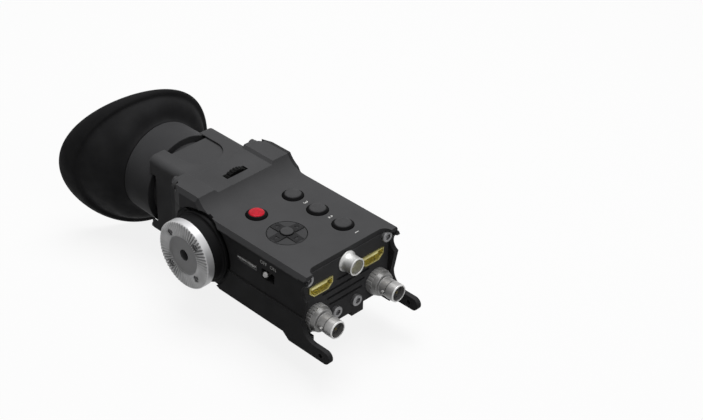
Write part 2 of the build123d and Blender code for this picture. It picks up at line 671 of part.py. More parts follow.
def base_tray():
    """Trough that closes the housing below and at both sides, with its screw bosses."""
    tray = block(-WALL_OUTER, WALL_OUTER, PANEL_BACK, REAR_Y, FLOOR_Z, -COVER_T)
    tray -= block(-INNER_HALF, INNER_HALF, PANEL_BACK - 1, REAR_Y + 1, FLOOR_TOP, 0)
    for side in BOTH:
        x, z = TOP_SCREW
        boss_end = PANEL_BACK + BOSS_LENGTH
        tray += rod_y(side * x, z, TOP_BOSS_R, PANEL_BACK, boss_end)
        tray -= rod_y(side * x, z, M2_R + SEAT_GAP, PANEL_BACK - 1, boss_end - 1)
        x, z = LOW_SCREW
        half = LOW_BOSS_HALF
        tray += block(side * (x - half), side * (x + half), PANEL_BACK, boss_end, FLOOR_TOP - 1, z + half)
        tray -= rod_y(side * x, z, M2_R + SEAT_GAP, PANEL_BACK - 1, boss_end - 1)
        for x, y in POSTS:
            tray += rod_z(side * x, y, POST_R, FLOOR_TOP - 1, FLOOR_TOP + POST_FOOT)
            tray -= rod_z(side * x, y, FINE_R + SEAT_GAP, FLOOR_Z - 1, FLOOR_TOP + POST_FOOT + 1)
            sunk = FLOOR_Z + CASE_HEAD_R - FINE_R
            tray -= turned_z(side * x, y, (0, FLOOR_Z - 1), (CASE_HEAD_R, FLOOR_Z - 1),
                             (CASE_HEAD_R, FLOOR_Z), (FINE_R, sunk), (0, sunk))
        for x, y in BOARD_FEET:
            tray += rod_z(side * x, y, BOARD_FOOT_R, FLOOR_TOP - 1, MAIN_BOARD_Z)
            tray -= rod_z(side * x, y, FINE_R + SEAT_GAP, FLOOR_TOP + 1, MAIN_BOARD_Z + 1)
        x, z = BLOCK_SCREWS[1]
        tray -= rod_y(side * x, z, FINE_R + SEAT_GAP, REAR_Y - BOSS_LENGTH + 1, REAR_Y + 1)
    for dy, dz in BOSS_SCREWS:
        tray -= rod_x(DISC_Y + dy, DISC_Z + dz, M2_R + SEAT_GAP, -WALL_OUTER - 1, -INNER_HALF + 1)
    tray -= slab_yz(toggle_window(0), -WALL_OUTER - 1, -INNER_HALF + 1)
    return tray - slot_passage(-WALL_OUTER - 1, -INNER_HALF + 1)


def video_outline(x, grow):
    """Flat-topped socket outline with its lower corners cut, in X and Z."""
    half = VIDEO_WIDTH / 2 + grow
    top = VIDEO_TOP + grow
    low = VIDEO_TOP - VIDEO_HEIGHT - grow
    knee = VIDEO_TOP - VIDEO_HEIGHT * 0.53
    foot = VIDEO_WIDTH * 0.3 + grow
    return Pos(x, 0) * make_face(Polyline((-half, top), (half, top), (half, knee), (foot, low),
                                          (-foot, low), (-half, knee), close=True))


def front_panel():
    """Front plate that carries the sockets, with its vents, feet and screw holes."""
    half = WALL_OUTER - SEAT_GAP
    tab_x, tab_z = PANEL_TAB
    foot_in, foot_out, foot_z = PANEL_FOOT
    face = make_face(Polyline(
        (-half, -COVER_T), (half, -COVER_T), (half, PANEL_BOTTOM), (tab_x, PANEL_BOTTOM),
        (tab_x, tab_z), (foot_out, foot_z), (foot_in, foot_z), (foot_in, tab_z), (-foot_in, tab_z),
        (-foot_in, foot_z), (-foot_out, foot_z), (-tab_x, tab_z), (-tab_x, PANEL_BOTTOM),
        (-half, PANEL_BOTTOM), close=True))
    panel = slab_xz(face, PANEL_FACE, PANEL_BACK)
    back = PANEL_BACK + 1
    front = PANEL_FACE - 1
    for reach, z in VENTS:
        panel -= slab_xz(Pos(0, z) * SlotOverall(2 * reach, VENT_T), front, back)
    for side in BOTH:
        panel -= slab_xz(video_outline(side * VIDEO_X, VIDEO_GAP), front, back)
        panel -= rod_y(side * COAX_X, COAX_Z, COAX_THREAD_R + SEAT_GAP, front, back)
        for x, z in (TOP_SCREW, LOW_SCREW):
            panel -= rod_y(side * x, z, M2_R + SEAT_GAP, front, back)
    return panel - rod_y(0, POWER_Z, POWER_NECK_R + SEAT_GAP, front, back)


def panel_screws():
    """Four round-head screws that hold the front panel to the tray."""
    screw = cap_screw(PANEL_HEAD_R, 2.0, M2_R, PANEL_T + SCREW_HOLD)
    return [facing(screw, (side * x, PANEL_FACE, z), (0, -1, 0))
            for side in BOTH for x, z in (TOP_SCREW, LOW_SCREW)]


def case_screws():
    """Four flush screws that hold the tray to the posts of the cover."""
    screw = flat_screw(CASE_HEAD_R, FINE_R, CASE_SCREW_LENGTH)
    return [facing(screw, (side * x, y, FLOOR_Z), (0, 0, -1)) for side in BOTH for x, y in POSTS]


def video_shell(side):
    """Metal shell of a flat video socket, through the panel to the port board."""
    front = PANEL_FACE - VIDEO_PROUD
    shell = slab_xz(video_outline(side * VIDEO_X, 0), front, BOARD_GAP_Y)
    shell -= slab_xz(video_outline(side * VIDEO_X, -VIDEO_WALL), front - 1, BOARD_GAP_Y - 1)
    return shell


def video_tongues():
    """The contact tongue inside each flat video socket."""
    z = VIDEO_TOP - VIDEO_WALL - TONGUE_DROP
    low, high = z - TONGUE_T / 2, z + TONGUE_T / 2
    return [block(side * (VIDEO_X - TONGUE_HALF), side * (VIDEO_X + TONGUE_HALF), PANEL_FACE + VIDEO_WALL,
                  BOARD_GAP_Y - 1, low, high) for side in BOTH]


def coax_jack(side):
    """Bayonet coaxial socket: sloping collar, barrel with two lugs, and open mouth."""
    y = PANEL_FACE
    end = y - COAX_REACH
    r = COAX_R
    thread = COAX_THREAD_R
    jack = turned_y(
        side * COAX_X, COAX_Z, (COAX_BORE_R, end), (r - 0.3, end), (r, end + 0.4), (r, end + COAX_NOSE),
        (thread, end + COAX_NOSE + 0.15), (thread, y - COLLAR_FRONT - 0.2),
        (COLLAR_FRONT_R - 0.2, y - COLLAR_FRONT), (COLLAR_FRONT_R, y - COLLAR_FRONT + 0.2),
        (COLLAR_R, y - RING_NUT_T), (thread, y - RING_NUT_T), (thread, BOARD_GAP_Y),
        (COAX_CORE_R, BOARD_GAP_Y), (COAX_CORE_R, end + COAX_DEPTH), (COAX_BORE_R, end + COAX_DEPTH))
    lugs = rod_x(0, 0, COAX_LUG_R, -r - 1.1, 0.4 - thread) + rod_x(0, 0, COAX_LUG_R, thread - 0.4, r + 1.1)
    return jack + Pos(side * COAX_X, end + COAX_LUG_STEP, COAX_Z) * lugs


def coax_nuts():
    """Knurled ring nut behind each coaxial collar, against the panel."""
    y = PANEL_FACE
    ring = Circle(RING_NUT_R) - Circle(COAX_THREAD_R + SEAT_GAP)
    notch = Pos(RING_NUT_R + 0.15, 0) * Circle(0.45)
    for turn in range(RING_NUT_NOTCHES):
        ring -= Rot(0, 0, 360 * turn / RING_NUT_NOTCHES) * notch
    return [slab_xz(Pos(side * COAX_X, COAX_Z) * ring, y - RING_NUT_T, y) for side in BOTH]


def coax_insulators():
    """White insulating sleeve inside each coaxial socket."""
    end = PANEL_FACE - COAX_REACH
    return [turned_y(side * COAX_X, COAX_Z, (CONTACT_R, end + 1.8), (COAX_SLEEVE_R, end + 1.8),
                     (COAX_SLEEVE_R, end + COAX_DEPTH), (COAX_CORE_R, end + COAX_DEPTH),
                     (COAX_CORE_R, BOARD_GAP_Y), (CONTACT_R, BOARD_GAP_Y)) for side in BOTH]


def coax_contacts():
    """Centre contact of each coaxial socket."""
    end = PANEL_FACE - COAX_REACH
    return [turned_y(side * COAX_X, COAX_Z, (CONTACT_BORE_R, end + 1.5), (CONTACT_R, end + 1.5),
                     (CONTACT_R, BOARD_GAP_Y), (0, BOARD_GAP_Y), (0, end + 5), (CONTACT_BORE_R, end + 5))
            for side in BOTH]


def power_socket():
    """Round power socket: flange on the panel, grooved nose and open mouth."""
    y = PANEL_FACE
    end = y - POWER_REACH
    r = POWER_R
    inner = POWER_NECK_R - POWER_NECK_T
    return turned_y(
        0, POWER_Z, (POWER_BORE_R, end), (r - 0.4, end), (r, end + 0.4), (r, end + 2.6),
        (r - 0.4, end + 2.9), (r - 0.4, end + 3.9), (r, end + 4.2), (r, y - 1.6), (r + 0.35, y - 1.4),
        (r + 0.35, y),
        (POWER_NECK_R, y), (POWER_NECK_R, BOARD_GAP_Y), (inner, BOARD_GAP_Y), (inner, end + POWER_RECESS),
        (POWER_BORE_R, end + POWER_RECESS))


def power_insert():
    """Insulating insert of the round socket, with its four contact holes."""
    face = PANEL_FACE - POWER_REACH + POWER_RECESS
    insert = rod_y(0, POWER_Z, POWER_NECK_R - POWER_NECK_T, face, BOARD_GAP_Y)
    for dx, dz in POWER_CONTACTS:
        insert -= rod_y(dx, POWER_Z + dz, CONTACT_R, face - 1, BOARD_GAP_Y + 1)
    return insert


def power_contacts():
    """Four socket contacts in the round insert."""
    face = PANEL_FACE - POWER_REACH + POWER_RECESS
    return [turned_y(dx, POWER_Z + dz, (CONTACT_BORE_R, face), (CONTACT_R, face), (CONTACT_R, BOARD_GAP_Y),
                     (0, BOARD_GAP_Y), (0, face + 3), (CONTACT_BORE_R, face + 3))
            for dx, dz in POWER_CONTACTS]


def port_board():
    """Upright board behind the front panel, to which the sockets are soldered."""
    x, z = TOP_SCREW
    edge = x - TOP_BOSS_R - LOOSE_GAP
    low_half = LOW_BOSS_HALF + LOOSE_GAP
    board_half = INNER_HALF - BOARD_EDGE_GAP
    y0, y1 = BOARD_GAP_Y, BOARD_GAP_Y + BOARD_T
    board = block(-board_half, board_half, y0, y1, FLOOR_TOP + LOOSE_GAP, -COVER_T - 0.4)
    for side in BOTH:
        board -= block(side * edge, side * HALF_WIDTH, y0 - 1, y1 + 1, z - TOP_BOSS_R - LOOSE_GAP, 0)
        x_low, z_low = LOW_SCREW
        board -= block(side * (x_low - low_half), side * (x_low + low_half), y0 - 1, y1 + 1,
                       FLOOR_Z, z_low + low_half)
    return board


def card_slot_shell():
    """Thin metal shell of the slot in the left panel."""
    inner = -INNER_HALF + SLOT_DEPTH
    wall = SLOT_WALL
    shell = block(-WALL_OUTER - LEFT_PANEL_T - 0.2, inner, *SLOT_Y, *SLOT_Z)
    return shell - block(-HALF_WIDTH, inner - 1, SLOT_Y[0] + wall, SLOT_Y[1] - wall, SLOT_Z[0] + 2 * wall,
                         SLOT_Z[1] - wall)


def card_slot_tongue():
    """Contact tongue at the back of the slot."""
    inner = -INNER_HALF + SLOT_DEPTH - 1
    return block(-WALL_OUTER + 0.6, inner, SLOT_Y[0] + 4 * SLOT_WALL, SLOT_Y[1] - 4 * SLOT_WALL,
                 SLOT_Z[1] - 1.3, SLOT_Z[1] - SLOT_WALL)


def key_profile(top_z, top_r):
    """Outline of a round key: crowned top, sloping flank, flange and stem."""
    flange_top = -COVER_T - 0.1
    flange_low = flange_top - KEY_FLANGE
    stem_low = DOME_TOP + KEY_TRAVEL + SEAT_GAP
    flange_r = KEY_R + KEY_FLANGE
    return [(0, top_z), (top_r * 0.75, top_z - 0.08), (top_r, top_z - 0.3), (KEY_R - 0.15, 0.15),
            (KEY_R, -0.25), (KEY_R, flange_top), (flange_r, flange_top), (flange_r, flange_low),
            (KEY_STEM_R, flange_low), (KEY_STEM_R, stem_low), (0, stem_low)]


def key(place):
    """One round function key."""
    return turned_z(*place, *key_profile(KEY_PROUD, KEY_TOP_R))


def record_key():
    """Round record key with a pocket for its coloured cap."""
    body = turned_z(*RECORD_PLACE, *key_profile(KEY_PROUD - 0.3, KEY_TOP_R + 0.35))
    return body - rod_z(*RECORD_PLACE, KEY_TOP_R, CAP_SEAT_Z, KEY_PROUD + 1)


def record_cap():
    """Coloured cap set into the record key."""
    top = KEY_PROUD + 0.1
    return turned_z(*RECORD_PLACE, (0, CAP_SEAT_Z), (KEY_TOP_R, CAP_SEAT_Z), (KEY_TOP_R, top - 0.5),
                    (KEY_TOP_R - 0.35, top - 0.2), (KEY_TOP_R * 0.6, top - 0.03), (0, top))


def pad_ring():
    """Four-way rocker: a flat disc with four raised arms, an arrow sunk in each."""
    flange_low = PAD_FLANGE_TOP - PAD_FLANGE_T
    bore = CENTRE_R + LOOSE_GAP
    flange_r = PAD_R + PAD_FLANGE
    ring = turned_z(
        *PAD_PLACE, (bore, PAD_PIVOT_Z), (bore, PAD_FACE), (PAD_R - 0.35, PAD_FACE), (PAD_R, PAD_FACE - 0.35),
        (PAD_R, PAD_FLANGE_TOP), (flange_r, PAD_FLANGE_TOP), (flange_r, flange_low),
        (PAD_R - PAD_WALL, flange_low), (PAD_R - PAD_WALL, PAD_PIVOT_Z))
    slope = make_face(Polyline((CENTRE_R - 1, 0), (CENTRE_R - 1, ARM_HIGH), (ARM_REACH - 0.5, ARM_LOW),
                               (ARM_REACH, PAD_FACE), (ARM_REACH, 0), close=True))
    arm = slab_xz(slope, -ARM_HALF, ARM_HALF) & rod_z(0, 0, ARM_REACH, 0, ARM_HIGH)
    start, tip, half = ARROW
    arm -= slab_xy(make_face(Polyline((start, -half), (tip, 0), (start, half), close=True)), ARROW_FLOOR, 2)
    for turn in range(4):
        ring += Pos(*PAD_PLACE) * (Rot(0, 0, 90 * turn) * arm)
    return ring - rod_z(*PAD_PLACE, bore, 0, ARM_HIGH + 1)


def pad_gimbal():
    """Rocker plate between the four-way pad and its board."""
    outer = PAD_R - GIMBAL_INSET
    high = PAD_FLANGE_TOP - PAD_FLANGE_T - outer * math.sin(math.radians(PAD_TILT)) - SEAT_GAP
    low = high - GIMBAL_T
    return turned_z(*PAD_PLACE, (GIMBAL_BORE_R, low), (outer, low), (outer, high), (GIMBAL_BORE_R, high))


def centre_key():
    """Push key in the middle of the four-way pad."""
    under = PAD_PIVOT_Z - CENTRE_UNDER
    low = under - CENTRE_FLANGE_T
    stem_low = DOME_TOP + CENTRE_TRAVEL + SEAT_GAP
    top = CENTRE_PROUD
    flange_r = CENTRE_R + CENTRE_FLANGE
    return turned_z(
        *PAD_PLACE, (0, top), (CENTRE_R * 0.7, top - 0.06), (CENTRE_R - 0.25, top - 0.2),
        (CENTRE_R, top - 0.5), (CENTRE_R, under), (flange_r, under), (flange_r, low),
        (CENTRE_STEM_R, low), (CENTRE_STEM_R, stem_low), (0, stem_low))


def button_board():
    """Board under the deck that carries the key domes."""
    y0 = KEY_FIRST_Y - SWITCH_BOARD_EDGE
    y1 = LAST_KEY_Y + SWITCH_BOARD_EDGE
    return block(-MAIN_BOARD_HALF, MAIN_BOARD_HALF, y0, y1, SWITCH_BOARD_Z - BOARD_T, SWITCH_BOARD_Z)


def key_domes():
    """Click domes under every key and under the four arms and centre of the pad."""
    reach = PAD_R - 3.6
    x, y = PAD_PLACE
    large = KEYS + [RECORD_PLACE, PAD_PLACE]
    small = [(x + reach, y), (x - reach, y), (x, y + reach), (x, y - reach)]
    sizes = [DOME_W / 2] * len(large) + [DOME_W / 2 * ARM_DOME] * len(small)
    return [block(px - half, px + half, py - half, py + half, SWITCH_BOARD_Z, DOME_TOP)
            for (px, py), half in zip(large + small, sizes)]


def board_pillars():
    """Four spacers that hang the button board from the cover."""
    ends = (KEY_FIRST_Y - PILLAR_STEP, LAST_KEY_Y + PILLAR_STEP)
    return [rod_z(x, y, PILLAR_R, SWITCH_BOARD_Z, -COVER_T)
            for x in (PILLAR_INSET - MAIN_BOARD_HALF, PILLAR_INSET) for y in ends]


def toggle_place():
    """Pivot of the power lever."""
    return (-HALF_WIDTH + TOGGLE_INSET + TOGGLE_ARM, TOGGLE_Y, TOGGLE_Z)


def power_lever():
    """Ball-tipped lever, resting at the rear end of its swing."""
    tip = TOGGLE_ARM
    lever = Sphere(TOGGLE_TIP_R) + Pos(tip, 0, 0) * Sphere(TOGGLE_HUB_R)
    arm = turned_x(0, 0, (0.5, 0), (0.5, 1.15), (tip - 0.5, 0.8), (tip - 0.5, 0))
    lever += arm + rod_z(tip, 0, TOGGLE_PIN_R, -TOGGLE_PIN_HALF, TOGGLE_PIN_HALF)
    pivot = toggle_place()
    return Pos(*pivot) * (Rot(0, 0, -TOGGLE_SWING / 2) * (Pos(-tip, 0, 0) * lever))


def lever_switch():
    """Body of the power switch, with the slot and pin holes of its lever."""
    px, py, pz = toggle_place()
    half_y, half_z = SWITCH_HALF
    pin_half = TOGGLE_PIN_HALF + 0.1
    body = block(-INNER_HALF, px + SWITCH_DEPTH, py - half_y, py + half_y, pz - half_z, pz + half_z)
    body += slab_yz(toggle_window(-0.1), -INNER_HALF - 1.2, -INNER_HALF)
    wedge = make_face(Polyline((px + 1.7, -1.9), (px + 1.7, 1.9), (px - 6.5, 3.6), (px - 6.5, -3.6),
                               close=True))
    body -= Pos(0, py, 0) * slab_xy(wedge, pz - 1.8, pz + 1.8)
    return body - rod_z(px, py, TOGGLE_PIN_R + RUNNING_GAP, pz - pin_half, pz + pin_half)


def disc_boss():
    """Round boss that stands the toothed disc off the housing."""
    back = DISC_FACE_X + DISC_T
    boss = turned_x(
        DISC_Y, DISC_Z, (-WALL_OUTER, 0), (-WALL_OUTER, SPIGOT_SEAT_R), (FLANGE_SEAT_X, SPIGOT_SEAT_R),
        (FLANGE_SEAT_X, FLANGE_R), (FLANGE_X + 0.4, FLANGE_R), (FLANGE_X, FLANGE_R - 0.4),
        (FLANGE_X, BOSS_R + 0.6), (FLANGE_X - 0.6, BOSS_R), (back, BOSS_R), (back, 0))
    boss -= rod_x(DISC_Y, DISC_Z, DISC_BORE_R, back - 1, DISC_FACE_X + DISC_BORE_LENGTH)
    screw_end = -INNER_HALF - WALL_T - BOSS_SCREW_HOLD
    for dy, dz in BOSS_SCREWS:
        boss -= rod_x(DISC_Y + dy, DISC_Z + dz, M2_R + SEAT_GAP, screw_end - 0.5, -WALL_OUTER + 1)
    disc_screw_end = DISC_FACE_X + DISC_HEAD_SINK + SCREW_HOLD
    for dy, dz in DISC_SCREWS:
        boss -= rod_x(DISC_Y + dy, DISC_Z + dz, FINE_R + SEAT_GAP, back - 1, disc_screw_end + 0.2)
    return boss


def toothed_disc():
    """Mounting disc with its ring of radial teeth, flat centre and bore."""
    face = DISC_FACE_X
    back = face + DISC_T
    low = face + TOOTH_DEPTH
    disc = turned_x(
        DISC_Y, DISC_Z, (back, 0), (back, DISC_R), (face + DISC_BEVEL, DISC_R), (face, DISC_R - DISC_BEVEL),
        (face, TOOTH_INNER_R), (low, TOOTH_INNER_R - TOOTH_DEPTH), (low, 0))
    half = math.pi * (DISC_R + 1) / TEETH
    tip = TOOTH_TIP_HALF
    valley = make_face(Polyline((-1, -half), (0, -half), (TOOTH_DEPTH, 0), (0, half), (-1, half), close=True))
    point = make_face(Polyline((-1, -tip), (0, -tip), (TOOTH_DEPTH, 0), (0, tip), (-1, tip), close=True))
    outer = Pos(0, 0, DISC_R + 1) * valley
    inner = Pos(0, 0, 1.0) * point
    groove = loft([inner, outer])
    for tooth in range(TEETH):
        disc -= Pos(face, DISC_Y, DISC_Z) * (Rot(360 * tooth / TEETH, 0, 0) * groove)
    for dy, dz in DISC_SCREWS:
        disc -= rod_x(DISC_Y + dy, DISC_Z + dz, DISC_HEAD_R + 0.1, face - 1, face + DISC_HEAD_SINK)
        disc -= rod_x(DISC_Y + dy, DISC_Z + dz, FINE_R + SEAT_GAP, face, back + 1)
    return disc - rod_x(DISC_Y, DISC_Z, DISC_BORE_R, face - 1, back + 1)


def disc_screws():
    """Four small screws that hold the toothed disc to its boss."""
    screw = cap_screw(DISC_HEAD_R, 1.2, FINE_R, SCREW_HOLD)
    return [facing(screw, (DISC_FACE_X + DISC_HEAD_SINK, DISC_Y + dy, DISC_Z + dz), (-1, 0, 0))
            for dy, dz in DISC_SCREWS]


def boss_screws():
    """Four screws inside the tray that hold the boss."""
    screw = cap_screw(BOSS_SCREW_HEAD_R, 1.4, M2_R, WALL_T + BOSS_SCREW_HOLD)
    return [facing(screw, (-INNER_HALF, DISC_Y + dy, DISC_Z + dz), (1, 0, 0)) for dy, dz in BOSS_SCREWS]


def eyepiece_block():
    """Block behind the housing that carries the focus bore, the barrel and the rest foot."""
    flange_back = REAR_Y + BLOCK_FLANGE_T
    outline = RectangleRounded(2 * BLOCK_FLANGE_HALF, SHOULDER_Z - FLANGE_LOW, FLANGE_CORNER)
    piece = slab_xz(Pos(0, (FLANGE_LOW + SHOULDER_Z) / 2) * outline, REAR_Y, flange_back)
    piece -= over_plateau(REAR_Y - 1, flange_back + 1)
    section = Pos(0, (BLOCK_BOTTOM + PLATEAU_Z) / 2) * Rectangle(2 * BLOCK_HALF, PLATEAU_Z - BLOCK_BOTTOM)
    section = fillet(section.vertices().group_by(Axis.Y)[-1], BLOCK_TOP_CORNER)
    section = fillet(section.vertices().group_by(Axis.Y)[0], BLOCK_LOW_CORNER)
    piece += slab_xz(section, flange_back, BLOCK_REAR)
    flare = BLOCK_FLARE
    for side in BOTH:
        tip = (side * (BLOCK_HALF + flare), flange_back)
        far = (side * BLOCK_HALF, flange_back + flare)
        bend = flare * (1 - math.sin(math.pi / 4))
        middle = (side * (BLOCK_HALF + bend), flange_back + bend)
        inset = (side * (BLOCK_HALF - 1), flange_back)
        inset_far = (side * (BLOCK_HALF - 1), flange_back + flare)
        plan = make_face([Line(inset, tip), ThreePointArc(tip, middle, far), Line(far, inset_far),
                          Line(inset_far, inset)])
        piece += slab_xy(plan, BLOCK_BOTTOM + BLOCK_LOW_CORNER, PLATEAU_Z - BLOCK_TOP_CORNER)
        for x, z in BLOCK_SCREWS:
            piece -= rod_y(side * x, z, M2_R + SEAT_GAP, REAR_Y - 1, flange_back + 1)
            piece -= rod_y(side * x, z, BLOCK_HEAD_R + LOOSE_GAP, flange_back, flange_back + flare + 2)
        for x, z in LUG_SCREWS:
            piece -= rod_y(side * x, z, M2_R + SEAT_GAP, BLOCK_REAR - LUG_SCREW_LENGTH - 2, BLOCK_REAR + 1)
    wall_back = REAR_Y + BLOCK_WALL
    half_x, half_z = WINDOW_HALF
    piece -= rod_y(0, AXIS_Z, BARREL_R + RECESS_GAP, BLOCK_FLOOR, BLOCK_REAR + 1)
    piece -= rod_y(0, AXIS_Z, FOCUS_BORE_R, wall_back, BLOCK_FLOOR + 1)
    piece -= block(-half_x, half_x, REAR_Y - 1, wall_back + 1, AXIS_Z - half_z, AXIS_Z + half_z)
    piece -= rod_y(0, DRIVE_Z, SCREW_R + RUNNING_GAP, REAR_Y - 1, wall_back + 1)
    piece -= rod_y(0, GUIDE_Z, GUIDE_R, REAR_Y + GUIDE_SINK, wall_back + 1)
    pocket = Pos(0, POCKET_Y) * Circle(POCKET_HALF)
    pocket += Pos(0, (POCKET_Y + BLOCK_REAR + 1) / 2) * Rectangle(2 * POCKET_HALF, BLOCK_REAR + 1 - POCKET_Y)
    piece -= slab_xy(pocket, PLATEAU_Z - POCKET_DEPTH, PLATEAU_Z + 1)
    return piece + slab_yz(foot_outline(), FOOT_INNER_X, BLOCK_HALF)


def foot_outline():
    """Side view of the rest foot under the block."""
    front = BLOCK_REAR - FOOT_LENGTH
    top = BLOCK_BOTTOM + 0.5
    low = FOOT_Z
    bend = FOOT_BEND
    middle = bend * (1 - math.sin(math.pi / 4))
    return make_face([
        Line((front, top), (front, low + bend)),
        ThreePointArc((front, low + bend), (front + middle, low + middle), (front + bend, low)),
        Line((front + bend, low), (BLOCK_REAR - 1.5, low)),
        Line((BLOCK_REAR - 1.5, low), (BLOCK_REAR, low + 1.5)),
        Line((BLOCK_REAR, low + 1.5), (BLOCK_REAR, top)),
        Line((BLOCK_REAR, top), (front, top))])


def block_screws():
    """Four screws that hold the block's flange to the housing."""
    top = cap_screw(BLOCK_HEAD_R, 1.8, M2_R, BLOCK_FLANGE_T + SCREW_HOLD)
    low = cap_screw(BLOCK_HEAD_R, 1.8, FINE_R, BLOCK_FLANGE_T + SCREW_HOLD)
    y = REAR_Y + BLOCK_FLANGE_T
    return [facing(screw, (side * x, y, z), (0, 1, 0))
            for side in BOTH for screw, (x, z) in zip((top, low), BLOCK_SCREWS)]


def lug_screws():
    """Four screws in the rear corners of the block."""
    screw = cap_screw(LUG_HEAD_R, 1.5, M2_R, LUG_SCREW_LENGTH)
    return [facing(screw, (side * x, BLOCK_REAR, z), (0, 1, 0)) for side in BOTH for x, z in LUG_SCREWS]


def eyepiece_barrel():
    """Round barrel that holds the eye lens and carries the eyecup."""
    start = BLOCK_FLOOR + BARREL_SINK
    return turned_y(
        0, AXIS_Z, (FOCUS_BORE_R, BLOCK_FLOOR), (NECK_R, BLOCK_FLOOR), (NECK_R, start),
        (BARREL_R - 0.3, start), (BARREL_R, start + 0.3), (BARREL_R - 0.3, BARREL_END),
        (SPIGOT_R, BARREL_END), (SPIGOT_R, SPIGOT_END - 0.8),
        (SPIGOT_R + 0.5, SPIGOT_END - 0.5), (SPIGOT_R + 0.5, SPIGOT_END), (EYE_LENS_R, SPIGOT_END),
        (EYE_LENS_R, EYE_LENS_Y), (FOCUS_BORE_R, EYE_LENS_Y))


def lens(r, y0, y1, sag0, sag1):
    """A lens on the line of sight: rim from y0 to y1, with crowns of these heights."""
    crown_r = r - LENS_RIM

    def crown(y, sag):
        curve_r = (crown_r ** 2 + sag ** 2) / (2 * abs(sag))
        fall = curve_r - math.sqrt(curve_r ** 2 - crown_r ** 2 / 4)
        return (crown_r / 2, y + math.copysign(abs(sag) - fall, sag))
    edges = [Line((0, y0 - sag0), (0, y1 + sag1)),
             ThreePointArc((0, y1 + sag1), crown(y1, sag1), (crown_r, y1)),
             Line((crown_r, y1), (r, y1)), Line((r, y1), (r, y0)), Line((r, y0), (crown_r, y0)),
             ThreePointArc((crown_r, y0), crown(y0, -sag0), (0, y0 - sag0))]
    return Pos(0, 0, AXIS_Z) * revolve(make_face(edges), Axis.Y)


def eye_lens():
    """Large rear lens."""
    return lens(EYE_LENS_R - SEAT_GAP, EYE_LENS_Y, EYE_LENS_Y + EYE_LENS_T, 2.0, 2.6)


def lens_ring():
    """Threaded ring that keeps the eye lens in the barrel."""
    y = EYE_LENS_Y + EYE_LENS_T
    end = y + LENS_RING_T
    inner = EYE_LENS_R - LENS_RIM
    return turned_y(0, AXIS_Z, (inner, y), (EYE_LENS_R, y), (EYE_LENS_R, end), (inner + 0.6, end),
                    (inner, end - 0.6))


def lens_carriage():
    """Carriage that slides in the block's bore, moved by the lead screw."""
    y0, y1 = CARRIAGE_Y
    r = FOCUS_BORE_R - RUNNING_GAP
    seat = CARRIAGE_LENS_R
    stop = y0 + CARRIAGE_STOP
    carriage = turned_y(0, AXIS_Z, (seat - 1, y0), (r, y0), (r, y1), (seat, y1), (seat, stop),
                        (seat - 1, stop))
    carriage -= rod_y(0, DRIVE_Z, SCREW_R + RUNNING_GAP, y0 - 1, y1 + 1)
    return carriage - rod_y(0, GUIDE_Z, GUIDE_R + RUNNING_GAP, y0 - 1, y1 + 1)


def carriage_lens():
    """Moving lens of the eyepiece."""
    y = CARRIAGE_Y[0] + CARRIAGE_STOP
    return lens(CARRIAGE_LENS_R - SEAT_GAP, y, y + CARRIAGE_LENS_T, 1.2, 1.4)


def carriage_ring():
    """Ring that keeps the moving lens in its carriage."""
    y = CARRIAGE_Y[0] + CARRIAGE_STOP + CARRIAGE_LENS_T
    end = y + CARRIAGE_RING_T
    seat = CARRIAGE_LENS_R
    return turned_y(0, AXIS_Z, (seat - 1.2, y), (seat, y), (seat, end), (seat - 1.2, end))


def guide_rod():
    """Rod that stops the carriage from turning."""
    return rod_y(0, GUIDE_Z, GUIDE_R, REAR_Y + GUIDE_SINK, SCREW_END)


def thumbwheel():
    """Ribbed focus wheel that shows through the slot."""
    y0, y1 = WHEEL_Y
    rim = Circle(WHEEL_R)
    valley = Pos(WHEEL_R + 0.15, 0) * Circle(WHEEL_RIB_R)
    for rib in range(WHEEL_RIBS):
        rim -= Rot(0, 0, 360 * rib / WHEEL_RIBS) * valley
    wheel = slab_xz(Pos(0, DRIVE_Z) * rim, y0, y1)
    wheel += rod_y(0, DRIVE_Z, WHEEL_HUB_R, y0 - WHEEL_HUB, y1 + WHEEL_HUB)
    return wheel - rod_y(0, DRIVE_Z, SCREW_R, y0 - 2, y1 + 2)


def lead_screw():
    """Screw that turns with the wheel and drives the carriage."""
    return rod_y(0, DRIVE_Z, SCREW_R, WHEEL_Y[0] - SCREW_LEAD_IN, SCREW_END)


def wheel_bracket():
    """Stirrup under the cover with a bearing each side of the wheel."""
    y0, y1 = WHEEL_Y[0] - WHEEL_SIDE, WHEEL_Y[1] + WHEEL_SIDE
    top = PLATEAU_Z - COVER_T
    floor = DRIVE_Z - WHEEL_R - BRACKET_GAP
    low = floor - BRACKET_FLOOR
    half = BRACKET_HALF
    bracket = block(-half, half, y0 - BRACKET_T, y0, low, top)
    bracket += block(-half, half, y1, y1 + BRACKET_T, low, top)
    bracket += block(-half, half, y0, y1, low, floor)
    return bracket - rod_y(0, DRIVE_Z, SCREW_R + RUNNING_GAP, y0 - BRACKET_T - 1, y1 + BRACKET_T + 1)


def display_module():
    """Small display in its frame, seated on the front of the block."""
    width, height, depth = DISPLAY
    half_x, half_z, sink = DISPLAY_GLASS[:3]
    front = REAR_Y - depth
    frame = block(-width / 2, width / 2, front, REAR_Y, AXIS_Z - height / 2, AXIS_Z + height / 2)
    return frame - block(-half_x, half_x, REAR_Y - sink, REAR_Y + 1, AXIS_Z - half_z, AXIS_Z + half_z)


def display_glass():
    """Glass of the display, in its frame's window."""
    half_x, half_z, sink, gap = DISPLAY_GLASS
    return block(-half_x, half_x, REAR_Y - sink, REAR_Y - gap, AXIS_Z - half_z, AXIS_Z + half_z)


